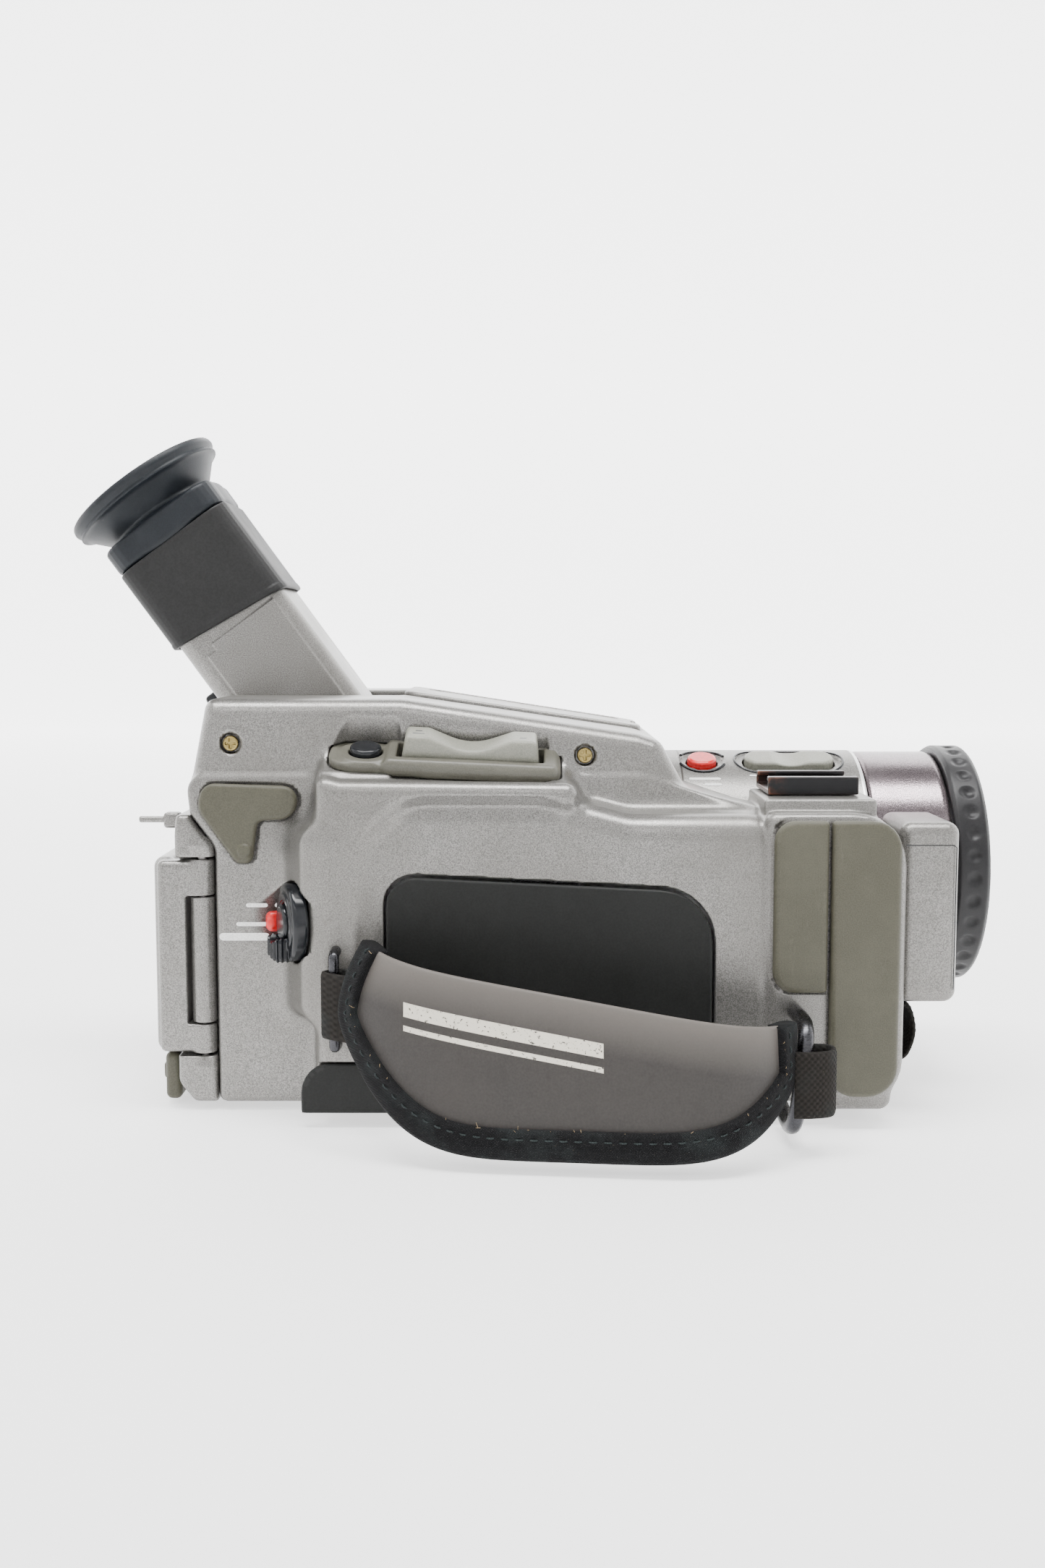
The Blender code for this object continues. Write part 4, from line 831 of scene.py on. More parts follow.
def sleeve():
    """The sleeve that slides on the tube, with slanted lower rims and a round mouth."""
    half = 17.3
    body = extruded(square(half, 5.4), "yz", 44, 73, 0.5)
    bore = block((30, -16.42, -16.42), (71.4, 16.42, 16.42), 6)
    mouth = drum((60, 0, 0), (80, 0, 0), 13.8, 0.1)
    lip = extruded(square(17.45, 5.4), "yz", 44, 50.6, 0.3)

    def slanted(start, z):
        return start + 3.9 * (half - z) / (2 * half)
    lip = both(0.4, lip, lambda x, y, z: x - slanted(47.0, z))
    return minus(0.2, both(0.6, union(0.3, body, lip), lambda x, y, z: slanted(45.2, z) - x),
                 bore, mouth)


def eyecup():
    """A flared rubber cup: thick rolled rim, thin wall, dusty neck and a squarer collar."""
    cup = revolved([(73.3, 13, 0), (83.5, 13, 1), (88.6, 18.4, 2), (91.6, 20.2, 0.8),
                    (92, 22.1, 0.9), (90.2, 22.5, 1), (88.2, 21.2, 1.5), (83.6, 16.9, 2),
                    (82, 15.4, 0.8), (80.6, 15.3, 0.8), (79.6, 16.6, 0.5), (73.3, 16.6, 0)])
    collar = minus(0.3, extruded(square(17.2, 6.4), "yz", 73.2, 80.4, 1.2),
                   drum((70, 0, 0), (90, 0, 0), 13.6, 0.1))
    ribs = revolved([(87.2, 18, 0), (88.6, 18, 0), (88.6, 21.9, 0.4), (87.8, 21.9, 0.3)])
    return union(2.4, union(0.5, cup, ribs), collar)


for node, field, look, slot, where, cell in (
        ("viewfinder_tube", viewfinder_tube(), casing, "casing", "viewfinder", 0.55),
        ("viewfinder_sleeve", sleeve(), sleeve_grey, "black_plastic", "eyepiece", 0.5),
        ("eyecup", eyecup(), eye_rubber, "black_rubber", "eyepiece", 0.45)):
    sculpt(node, field, look, slot, where, cell, frame_of=VIEWFINDER)
sculpt("dioptre_lever", union(0.8, block((29.5, -1.6, -21), (35.5, 1.6, -16.2), 1.2),
                              drum((32.5, 0, -20.6), (32.5, 0, -17), 1.9, 0.8)),
       gloss_black, "black_plastic", "dioptre_lever", 0.25, frame_of=VIEWFINDER)


# ---------------------------------------------------------------- lens
def on_axis(field):
    """A field drawn about the X axis, moved up to the lens's axis."""
    return framed(field, Matrix.Translation((0, 0, AXIS_Z)))


def lens_housing():
    """The barrel with its seats for the record button and the rocker."""
    ring = revolved([(36, 28.5, 0), (91, 28.5, 0), (91, 31, 0.4), (36, 31, 0.2)])
    slot, dish = oblong(59.5, -4.7, 84.5, 4.7, 4.7), oblong(57.6, -6.2, 86.2, 6.2, 6)
    top = [drum((48.5, 0, 20), (48.5, 0, 40), 4.25, 0.1), extruded(slot, "xy", 20, 40, 0.1),
           drum((48.5, 0, 30.3), (48.5, 0, 40), 5.6, 0.3), extruded(dish, "xy", 30.2, 40, 0.3)]
    return minus(0.4, on_axis(ring), *(framed(f, LENS_TOP) for f in top))


def focus_ring():
    """The rubber ring with a row of thumb dimples."""
    ring = revolved([(112.5, 27, 0.3), (121.5, 27, 0.3), (121.5, 31.1, 1), (120.3, 32.3, 1.2),
                     (113.6, 32.3, 0.5), (112.5, 31.6, 0.4)])
    count = 34

    def dimples(x, y, z):
        step = 2 * math.pi / count
        angle = np.arctan2(z, y)
        turn = angle - np.round(angle / step) * step
        away = length(y, z)
        return length(x - 117, away * np.sin(turn), away * np.cos(turn) - 34.3) - 2.75
    return on_axis(minus(0.45, ring, dimples))


lens_rocker = framed(minus(0.5, extruded(oblong(60, -4.2, 84, 4.2, 4.2), "xy", 28.7, 32.1, 0.9),
                           drum((72, -9, 41.6), (72, 9, 41.6), 10.4, 0.1)), LENS_TOP)
rec = framed(minus(0.6, drum((48.5, 0, 28), (48.5, 0, 31.9), 3.9, 0.8),
                   drum((48.5, 0, 41.6), (48.5, 0, 50), 10.2, 0.1)), LENS_TOP)
sculpt("lens_housing", lens_housing(), lens_paint, "casing", cell=0.65, keep=0.6)
sculpt("lens_nose", on_axis(revolved([(91.3, 27, 0), (112.2, 27, 0), (112.2, 30.2, 0.5),
                                      (110.9, 30.6, 0.4), (92.2, 30.6, 0.5), (91.3, 30, 0.3)])),
       mauve_paint, "dark_casing", cell=0.7, keep=0.5)
sculpt("front_element", on_axis(both(0.2, drum((106.4, 0, 0), (116, 0, 0), 24.5, 0.2),
                                     lambda x, y, z: length(x - 70.2, y, z) - 43.8)),
       lens_glass, "optical_glass", cell=0.7)
sculpt("eyepiece_lens", both(0.2, both(0.2, drum((64, 0, 0), (72, 0, 0), 15, 0.1),
                                       lambda x, y, z: length(x - 25, y, z) - 46),
                             lambda x, y, z: length(x - 111, y, z) - 46),
       lens_glass, "optical_glass", "eyepiece", 0.5, frame_of=VIEWFINDER)
sculpt("focus_ring", focus_ring(), ring_rubber, "black_rubber", "focus_ring", 0.5)
sculpt("rec_button", rec, red_gloss, "red_plastic", "rec_button", 0.25)
sculpt("lens_rocker", lens_rocker, olive_rocker, "olive_rubber", "lens_rocker", 0.35)
for start, stop in ((20, 150), (200, 335)):
    arc = [LENS_TOP @ Vector((48.5 + 6.3 * math.cos(a), 6.3 * math.sin(a),
                              math.sqrt(31.02 ** 2 - (6.3 * math.sin(a)) ** 2) + 0.05))
           for a in np.radians(np.linspace(start, stop, 22))]
    wires(f"rec_arc_{start}", [arc], 0.42, gloss_black, "black_plastic")
rim = arc_outline(oblong(57.2, -6.6, 86.6, 6.6, 6.4), 9)
wires("rocker_rim", [[LENS_TOP @ Vector((x, y, math.sqrt(31.0 ** 2 - y * y) + 0.02))
                      for x, y in rim]], 0.3, gloss_black, "black_plastic", cyclic=True)
slots = [block((107.3, -46.5, 35 + 3.4 * i), (112, -35, 36.6 + 3.4 * i), 0.6) for i in range(9)]
mic = minus(0.5, block((93.4, -50, 28.4), (108.3, -8, 73.8), 3.2), barrel_room(30.9), *slots)
sculpt("microphone_housing", mic, casing, "casing", cell=0.55, keep=0.7)
for name, line in (
        ("mic_seam", [(94.6, -50.02, 68.2), (106.4, -50.02, 68.2), (107.2, -49.7, 67.6),
                      (107.2, -49.7, 32)]),
        ("nose_tick", [(106.5, -30.0, 62.8), (109.0, -30.0, 62.8), (111.6, -30.0, 62.8)])):
    wires(name, [line], 0.13, gloss_black, "black_plastic")


# ---------------------------------------------------------------- accessory shoe and zoom controls
y0, y1, floor, wall, lip, top = -46, -26, 80.3, 1.2, 2.6, 84.8
shoe = [(y0, floor, 0.3), (y1, floor, 0.3), (y1, top, 0.5), (y1 - lip, top, 0.4),
        (y1 - lip, top - wall, 0.3), (y1 - wall, top - wall, 0.2), (y1 - wall, floor + wall, 0.2),
        (y0 + wall, floor + wall, 0.2), (y0 + wall, top - wall, 0.2), (y0 + lip, top - wall, 0.3),
        (y0 + lip, top, 0.4), (y0, top, 0.5)]
shoe_black = Look("shoe_black", 0.3, 0.6)
edges = shoe_black.ramp(shoe_black.node("NewGeometry").outputs["Pointiness"], 0.52, 0.58, 0, 1)
wear = shoe_black.maths("MULTIPLY", shoe_black.ramp(shoe_black.noise(2.2, 5.0), 0.4, 0.55),
                        shoe_black.ramp(shoe_black.axis("X"), 62.0, 66.0, 1.0, 0.0))
wear = shoe_black.maths("MULTIPLY", wear, shoe_black.ramp(edges, 0.0, 1.0, 0.12, 1.0))
shoe_black.colour(shoe_black.mix(shoe_black.maths("MULTIPLY", edges, 0.4), shoe_black.mix(
    wear, (0.008, 0.008, 0.009), (0.2, 0.075, 0.04)), (0.06, 0.045, 0.04)))
shoe_black.bump(shoe_black.noise(0.6), 0.01)
sculpt("accessory_shoe", extruded(shoe, "yz", 61, 83.5, 0.35), shoe_black.material,
       "dark_casing", cell=0.32)


def zoom_trim():
    """The olive plate that frames the zoom rocker and the photo button."""
    plate = extruded(TRIM_OUTLINE, "xy", -1.8, 0.9, 0.7)
    frame_rim = block((-14.2, -7.5, -1.8), (28.6, 7.1, 2.6), 1.7)
    button_rim = drum((-19, 0, -1), (-19, 0, 1.4), 6.6, 0.7)
    return minus(0.5, union(1.2, plate, frame_rim, button_rim),
                 block((-11.2, -4.4, -5), (24.9, 4.4, 5), 0.6),
                 drum((-19, 0, -5), (-19, 0, 5), 4.2, 0.1))


ROCKER = [(-10.4, -1.6, 0.6), (24.1, -1.6, 0.6), (22.9, 7.4, 1.2), (17.2, 7.4, 2.4),
          (6.8, 3.2, 26), (-3.6, 7.4, 2.4), (-9.1, 7.4, 1.2)]
for node, field, look, where, cell, slot in (
        ("zoom_trim", zoom_trim(), olive_trim, "camcorder_body", 0.4, "olive_rubber"),
        ("zoom_rocker", extruded(ROCKER, "xz", -3.8, 3.8, 1.0), olive_rocker, "zoom_rocker", 0.35,
         "olive_rubber"),
        ("photo_button", minus(0.8, drum((-19, 0, -2.5), (-19, 0, 3), 3.9, 0.8),
                               drum((-19, 0, 17.4), (-19, 0, 40), 15.0, 0.1)),
         gloss_black, "photo_button", 0.25, "black_plastic")):
    sculpt(node, field, look, slot, where, cell, frame_of=TRIM)


# ---------------------------------------------------------------- power dial
def power_dial():
    """The power switch: a ring with a ridged thumb lever and room for its lock button."""
    ring = drum((0, 0, -0.8), (0, 0, 3.2), 9.6, 1.1)
    band = minus(0.2, drum((0, 0, 0), (0, 0, 3.6), 7.4, 0.4), drum((0, 0, 0), (0, 0, 9), 5.6, 0.3))
    lever = block((-4.5, -9.4, 1), (4.5, -2.6, 6.9), 1.7)

    def ridged(x, y, z):
        return lever(x, y, z) + 0.2 * (1 + np.cos((z - 0.45 * x) * 2 * math.pi / 1.25))
    return minus(0.3, union(0.7, ring, band, ridged), drum((0, 0, -5), (0, 0, 12), 4.85, 0.1),
                 block((-9, -3.4, 0.3), (-5.1, 2.2, 12), 0.4))


for node, field, look, slot, cell in (
        ("power_dial", power_dial(), gloss_black, "black_plastic", 0.28),
        ("lock_button", union(1.2, block((-8.6, -3, 1.8), (-5.5, 1.8, 6.2), 1.4),
                              block((-8.6, -3, 1.8), (-5.5, -0.4, 5.6), 1.2)),
         red_gloss, "red_plastic", 0.2),
        ("record_button", minus(0.5, drum((0, 0, -0.8), (0, 0, 4.4), 4.5, 0.8),
                                drum((0, 0, 15.9), (0, 0, 30), 12.0, 0.1)),
         gloss_black, "black_plastic", 0.25)):
    sculpt(node, field, look, slot, node, cell, frame_of=DIAL)


# ---------------------------------------------------------------- lids and flaps
lid = minus(0.25, extruded(LID, "xz", -60.2, -57.9, 0.7),
            minus(0.2, extruded(grown(LID, -1.1), "xz", -62, -59.95, 0.1),
                  extruded(grown(LID, -1.7), "xz", -64, -55, 0.1)))
sculpt("cassette_lid", lid, lid_black, "black_plastic", "cassette_lid", 0.45, 0.6)
sculpt("grip_band", both(0.5, extruded(BAND, "xz", -60.2, -58.4, 0.6),
                         lambda x, y, z: 3.6 - z + 0 * (x + y)),
       lid_black, "black_plastic", cell=0.5)
UPPER = [(60.4, 33.8, 5), (73.45, 33.8, 1), (73.45, 75.6, 1), (60.4, 75.6, 5)]
LONG = [(74.15, 8, 6.5), (91, 8, 7.5), (91, 75.6, 7), (74.15, 75.6, 1)]
for node, outline in (("upper_port_flap", UPPER), ("long_port_flap", LONG)):
    sculpt(node, extruded(outline, "xz", -62.4, -59, 1.5), olive, "olive_rubber", node, 0.45)
JACKS = ((67.2, 62), (67.2, 46), (82.5, 60), (82.5, 42), (82.5, 24))
sockets = [minus(0.1, drum((x, -53, z), (x, -58, z), 4, 0.5), drum((x, -56, z), (x, -60, z), 2, 0.1))
           for x, z in JACKS]
sculpt("jack_board", union(0.2, block((61, -54, 14), (89, -52.4, 72), 0.3), *sockets),
       black_plastic, "circuit_board", cell=0.4)
wires("jack_rings", [[(x + 2.4 * math.cos(a), -57.95, z + 2.4 * math.sin(a))
                      for a in np.linspace(0, 2 * math.pi, 24, endpoint=False)] for x, z in JACKS],
      0.4, steel, "steel", cyclic=True)
nub = drum((-68.8, -46.3, 66.6), (-68.8, -49.3, 66.6), 1.7, 0.5)
sculpt("remote_jack_flap", union(0.4, extruded(REMOTE_FLAP, "xz", -48.8, -46.3, 1.1), nub),
       olive, "olive_rubber", "remote_jack_flap", 0.4)
cap = [(0, -19, 5), (64, -15, 4), (64, 15, 4), (0, 19, 5)]
inner = [(5, -15.5, 4), (59, -12, 3), (59, 12, 3), (5, 15.5, 4)]
top_lid = minus(0.4, extruded(cap, "xy", 0, 1.8, 0.8), extruded(inner, "xy", 1.5, 5, 0.1),
                block((62, -5, 1.1), (70, 5, 5), 0.8))
sculpt("control_lid", framed(top_lid, TOP_LID), casing, "casing", "control_lid", 0.5)
keys = [drum((x, y, -1.6), (x, y, -0.5), 3, 0.5) for x, y in
        ((14, -6), (24, -6), (34, -6), (44, -6), (24, 6), (34, 6))]
sculpt("keypad", framed(union(0.5, block((5, -13.4, -2.2), (57, 13.4, -1.2), 0.3), *keys), TOP_LID),
       ring_rubber, "black_rubber", cell=0.5)

# far side
plate = extruded(oblong(-8, 16, 64, 44, 6), "xz", 38.3, 39.8, 0.5)
sculpt("control_panel", minus(0.3, plate, drum((24, 34, 30), (24, 50, 30), 3.3, 0.1)),
       dark_paint, "dark_casing", cell=0.5)
sculpt("white_balance_button", drum((24, 38.3, 30), (24, 41.3, 30), 3, 0.7), gloss_black,
       "black_plastic", "white_balance_button", 0.25)


def exposure_dial(x, y, z):
    body = drum((50, 40.1, 30), (50, 43.8, 30), 7.9, 0.9)(x, y, z)
    grip = 0.22 * np.cos(36 * np.arctan2(z - 30, x - 50))
    away = length(x - 50, z - 30)
    return body + np.where(away > 6.5, grip * np.clip(away - 6.5, 0, 1), 0)


sculpt("exposure_dial", exposure_dial, gloss_black, "black_plastic", "exposure_dial", 0.3)

# screws: brass cross heads in a dark ring
for i, (x, z) in enumerate(SCREWS):
    head = drum((x, -44.6, z), (x, -42.8, z), 1.95, 0.5)
    cross = [block((x - w, -48, z - h), (x + w, -43.8, z + h), 0.1)
             for w, h in ((1.35, 0.36), (0.36, 1.35))]
    sculpt(f"case_screw_{i + 1}", minus(0.1, head, *cross), brass, "brass", cell=0.14)

# ---------------------------------------------------------------- printed signs, without words
side_face = Matrix.Translation((0, -46.0, 0)) @ Matrix(((1, 0, 0, 0), (0, 0, -1, 0), (0, 1, 0, 0),
                                                        (0, 0, 0, 1)))
marks("power_marks", [(-66.4, 52.6, 5.4, 1.0), (-67.6, 47.8, 8.0, 1.0), (-69.6, 44.6, 12.6, 1.9),
                      (-61.4, 52.6, 1.0, 1.0)], white_print, "casing", side_face)
marks("moulded_signs", [(-69.2, 93, 3.0, 0.35), (-70.0, 93.5, 1.2, 0.3), (-70.0, 92.5, 1.2, 0.3)],
      ghost_print, "casing", Matrix.Translation((0, 3.0, 0)) @ side_face)
marks("photo_mark", [(-19, 5.6, 7.4, 1.5)], white_print, "olive_rubber",
      Matrix.Translation(TRIM @ Vector((0, 0, 0.5)) - TRIM.translation) @ TRIM)


def on_barrel(name, bars, turn):
    """Printed bars on the lens housing, at an angle round it from its control row."""
    frame = (Matrix.Translation((0, 0, AXIS_Z)) @ Matrix.Rotation(math.radians(20 + turn), 4, "X")
             @ Matrix.Translation((0, 0, 31.0)))
    marks(name, bars, white_print, "casing", frame)


on_barrel("rec_sign", [(48.5, 0, 8.4, 0.9)], 17)
on_barrel("rec_sign_short", [(50.5, 0, 4.6, 0.9)], 21)
on_barrel("zoom_signs", [(61.6, 0, 2.2, 0.6), (80.8, 0, 2.2, 0.6), (71.0, 0, 5.4, 0.6)], 14.5)
for name, bars in (("rocker_wide_mark", [(-6.0, -1.0, 3.0, 0.55), (-6.0, 0.6, 1.7, 0.55)]),
                   ("rocker_tele_mark", [(19.6, -1.0, 1.7, 0.55)])):
    tilt = Matrix.Translation((0, 0, 7.38))
    marks(name, bars, gloss_black, "olive_rubber", TRIM @ tilt, "zoom_rocker", 0.04)


# ---------------------------------------------------------------- hand strap
PAD_X = (-38, 61.4)
PAD_FOOT, PAD_TOP, TOP_FALL = 3.6, 48.5, 17
LEFT_RISE, RIGHT_RISE = 26, 14  # how much higher the foot is at the two ends
PAD_Y, PAD_BOW, PAD_BELLY, PAD_TURN = -69, 13.5, 5, 11
LID_CLEARANCE = 2.2  # the left end stands this far out, so that the opened cassette lid clears it


def pad_point(across, up):
    """A point of the strap pad's middle surface, close to the CAD's, both shares 0 to 1."""
    x = PAD_X[0] + (PAD_X[1] - PAD_X[0]) * across
    side = abs(2 * across - 1)
    low = PAD_FOOT + (LEFT_RISE if across < 0.5 else RIGHT_RISE) * side ** 5
    top = PAD_TOP - TOP_FALL * across
    z = low + (top - low) * up
    left = (1 - across) ** 6
    x += left * (6 * min(max((z - 30) / 18, 0), 1) ** 2 - 4)
    bow = 1 - side ** 5
    y = PAD_Y - LID_CLEARANCE * left - PAD_BOW * bow - PAD_BELLY * (1 - up) * bow - PAD_TURN * across
    return Vector((x, y, z))


def pad_normal(across, up):
    """The pad's outward direction, which points mostly along -Y."""
    e = 0.01
    a = min(max(across, e), 1 - e)
    u = min(max(up, e), 1 - e)
    along = pad_point(a + e, u) - pad_point(a - e, u)
    rise = pad_point(a, u + e) - pad_point(a, u - e)
    return along.cross(rise).normalized()


def pad_edge(count, whole=False):
    """Points down the pad's left end, along its foot and up its right end, evenly spaced.

    Each has its normal and the inward direction. The whole edge takes in the top too.
    """
    shares = ([(0.0, 1 - t) for t in np.linspace(0, 1, 24, endpoint=False)]
              + [(t, 0.0) for t in np.linspace(0, 1, 120, endpoint=False)]
              + [(1.0, t) for t in np.linspace(0, 1, 24)])
    if whole:
        shares += [(1 - t, 1.0) for t in np.linspace(0, 1, 60)]
    points = np.array([pad_point(*s) for s in shares])
    normals = np.array([pad_normal(*s) for s in shares])
    for _ in range(10):
        for row in (points, normals):
            row[1:-1] = (row[:-2] + 2 * row[1:-1] + row[2:]) / 4
    reach = np.linalg.norm(np.diff(points, axis=0), axis=1)
    place = np.concatenate([[0], np.cumsum(reach)])
    wanted = np.linspace(0, place[-1], count)
    points, normals = (np.stack([np.interp(wanted, place, v[:, i]) for i in range(3)], 1)
                       for v in (points, normals))
    along = np.gradient(points, axis=0)
    along /= np.linalg.norm(along, axis=1)[:, None]
    normals /= np.linalg.norm(normals, axis=1)[:, None]
    inward = np.cross(along, normals)
    middle = points.mean(0)
    inward *= np.sign(((middle - points) * inward).sum(1))[:, None]
    return points, normals, inward, place[-1]


def swept(name, section, count):
    """A band round the pad's edge with closed ends. Section points are (inward, outward) mm."""
    points, normals, inward, _ = pad_edge(count)
    rings = [points + inward * a + normals * b for a, b in section]
    size = len(section)
    mesh = bpy.data.meshes.new(name)
    verts = [tuple(ring[i] * MM) for i in range(count) for ring in rings]
    faces = [(i * size + j, i * size + (j + 1) % size, (i + 1) * size + (j + 1) % size,
              (i + 1) * size + j) for i in range(count - 1) for j in range(size)]
    faces += [tuple(range(size)), tuple((count - 1) * size + j for j in range(size))[::-1]]
    mesh.from_pydata(verts, [], faces)
    outwards(mesh)
    mesh.shade_smooth()
    return mesh


def outwards(mesh):
    """Turns the faces of a closed mesh outwards."""
    shape = bmesh.new()
    shape.from_mesh(mesh)
    bmesh.ops.recalc_face_normals(shape, faces=shape.faces)
    shape.to_mesh(mesh)
    shape.free()


def strap_leather():
    """Brown-grey leatherette: fine grain, mottling, a painted highlight along the pad's top edge, and
    a cream print of two plain stripes.
    """
    look = Look("strap_leatherette", 0.6, Specular_IOR_Level=0.35)
    grain = look.noise(0.5, 3.0)
    creases = look.noise(4.0, 4.0, (1.0, 1.0, 0.5), 0.65)
    cloud = look.noise(22.0, 4.0, roughness=0.6)
    base = look.mix(look.ramp(cloud, 0.35, 0.68), (0.021, 0.0183, 0.0168), (0.031, 0.0272, 0.0248))
    base = look.mix(look.ramp(grain, 0.3, 0.7, 0.0, 0.35), base, (0.045, 0.04, 0.036))
    base = look.mix(look.ramp(creases, 0.62, 0.75, 0.0, 0.5), base, (0.02, 0.017, 0.015))
    x, z = look.axis("X"), look.axis("Z")
    drop = look.maths("MULTIPLY_ADD", x, 0.17, z)
    # painted highlight: the leatherette turns lighter towards the pad's top edge
    base = look.mix(look.ramp(drop, 30, 42, 0.0, 0.8), base, (0.135, 0.121, 0.108))
    worn = look.ramp(look.noise(0.8, 4.0, roughness=0.7), 0.36, 0.42)

    def bar(left, right, middle, half):
        away = look.maths("ABSOLUTE", look.maths("SUBTRACT", x, (left + right) / 2))
        up = look.maths("ABSOLUTE", look.maths("SUBTRACT", drop, middle))
        inside = look.maths("MAXIMUM", look.maths("SUBTRACT", away, (right - left) / 2),
                            look.maths("SUBTRACT", up, half))
        return look.ramp(inside, -0.05, 0.08, 1.0, 0.0)
    print_mask = bar(-27.0, 18.0, 30.8, 1.6)
    print_mask = look.maths("MAXIMUM", print_mask, bar(-27.0, 18.0, 26.6, 0.6))
    print_mask = look.maths("MULTIPLY", print_mask, worn)
    look.colour(look.mix(print_mask, base, (0.62, 0.58, 0.49)))
    look.rough(look.ramp(cloud, 0.3, 0.7, 0.52, 0.7))
    look.bump(creases, 0.12)
    look.bump(grain, 0.05)
    return look.material


FADED_THREAD = (0.02, 0.025, 0.025)


def cloth_tape(name, tone, pitch):
    """A woven tape: over-and-under threads, lint, and frayed paler specks."""
    look = Look(name, 0.9, Specular_IOR_Level=0.2)
    x, y, z = (look.axis(letter) for letter in "XYZ")
    run = look.maths("ADD", x, look.maths("MULTIPLY", y, 0.7))
    warp = look.maths("SINE", look.maths("MULTIPLY", run, 2 * math.pi / pitch))
    weft = look.maths("SINE", look.maths("MULTIPLY", z, 2 * math.pi / pitch))
    weave = look.ramp(look.maths("MULTIPLY", warp, weft), -1.0, 1.0)
    lint = look.ramp(look.noise(0.6, 5.0, roughness=0.8), 0.63, 0.72, 0.0, 0.7)
    base = look.mix(weave, tuple(c * 0.6 for c in tone), tuple(c * 1.5 for c in tone))
    base = look.mix(look.ramp(look.noise(9.0, 3.0), 0.5, 0.75, 0.0, 0.5), base, FADED_THREAD)
    look.colour(look.mix(lint, base, (0.07, 0.058, 0.04)))
    look.bump(weave, 0.12)
    look.bump(look.noise(0.25), 0.04)
    return look.material


leather = strap_leather()
tape = cloth_tape("binding_tape", (0.0035, 0.0035, 0.004), 0.6)
web_black = cloth_tape("webbing_dark", (0.012, 0.0105, 0.009), 1.5)
thread_grey = cloth_tape("stitch_thread", (0.022, 0.028, 0.028), 0.5)


def two_sided(name, place, columns, rows):
    """A thin closed body whose front and back grids of points, place(i, j, side), share a rim."""
    points = [tuple(place(i, j, side)) for side in (1, -1)
              for i in range(columns + 1) for j in range(rows + 1)]
    half = len(points) // 2
    faces = []
    for i in range(columns):
        for j in range(rows):
            a = i * (rows + 1) + j
            quad = (a, a + rows + 1, a + rows + 2, a + 1)
            faces += [quad, tuple(half + v for v in quad[::-1])]
    rim = ([(i, 0) for i in range(columns)] + [(columns, j) for j in range(rows)]
           + [(i, rows) for i in range(columns, 0, -1)] + [(0, j) for j in range(rows, 0, -1)])
    ends = [i * (rows + 1) + j for i, j in rim]
    faces += [(b, a, half + a, half + b) for a, b in zip(ends, ends[1:] + ends[:1])]
    mesh = bpy.data.meshes.new(name)
    mesh.from_pydata(points, [], faces)
    outwards(mesh)
    return mesh


def strap_pad():
    """The padded body: a thin lens of the pad's shape, inflated as cloth between its edges."""
    columns, rows = 70, 30

    def place(i, j, side):
        a, u = i / columns, j / rows
        rim = min(a, 1 - a, u, 1 - u)
        thick = 0.75 + 0.45 * min(1, rim * 9)
        a, u = 0.012 + 0.976 * a, 0.03 + 0.94 * u
        return (pad_point(a, u) + pad_normal(a, u) * side * thick) * MM
    mesh = two_sided("strap_pad_mesh", place, columns, rows)
    mesh.materials.append(leather)
    pad = bpy.data.objects.new("strap_cushion", mesh)
    bpy.context.scene.collection.objects.link(pad)
    inflate(pad)
    fewer = pad.modifiers.new("smooth", "SUBSURF")
    fewer.levels = fewer.render_levels = 1
    pad.data.shade_smooth()
    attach(pad, "camcorder_body")
    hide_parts("strap_pad")


def inflate(pad, cap=1.3):
    """Swells the pad with Blender's cloth, keeping every point within cap mm of its start."""
    start = np.empty(len(pad.data.vertices) * 3, np.float32)
    pad.data.vertices.foreach_get("co", start)
    held = pad.vertex_groups.new(name="held")
    edge = pad_edge(500, True)[0]
    spots = start.reshape(-1, 3) / MM
    away = np.array([np.linalg.norm(edge - p, axis=1).min() for p in spots])
    pinned = away < 3.2
    held.add([int(i) for i in np.nonzero(pinned)[0]], 1.0, "REPLACE")
    cloth = pad.modifiers.new("cloth", "CLOTH")
    cloth.settings.use_pressure = True
    cloth.settings.uniform_pressure_force = 6
    cloth.settings.effector_weights.gravity = 0
    cloth.settings.tension_stiffness = 30
    cloth.settings.bending_stiffness = 2
    cloth.settings.vertex_group_mass = "held"
    cloth.point_cache.frame_start = 1
    cloth.point_cache.frame_end = 20
    for frame_number in range(1, 21):
        bpy.context.scene.frame_set(frame_number)
    graph = bpy.context.evaluated_depsgraph_get()
    swollen = bpy.data.meshes.new_from_object(pad.evaluated_get(graph))
    bpy.context.scene.frame_set(1)
    pad.modifiers.remove(cloth)
    end = np.empty(len(start), np.float32)
    swollen.vertices.foreach_get("co", end)
    move = (end - start).reshape(-1, 3)
    ends = np.empty(len(swollen.edges) * 2, np.int32)
    swollen.edges.foreach_get("vertices", ends)
    a, b = ends.reshape(-1, 2).T
    around = np.maximum(np.bincount(ends, minlength=len(move)), 1)[:, None]
    for _ in range(5):
        total = np.stack([np.bincount(a, move[b, k], len(move)) + np.bincount(b, move[a, k], len(move))
                          for k in range(3)], 1)
        move = np.where(pinned[:, None], 0, total / around)
    reach = np.linalg.norm(move, axis=1)
    move *= np.minimum(1, cap * MM / np.maximum(reach, 1e-9))[:, None]
    swollen.vertices.foreach_set("co", start + move.ravel())
    swollen.materials.clear()
    swollen.materials.append(leather)
    pad.data = swollen


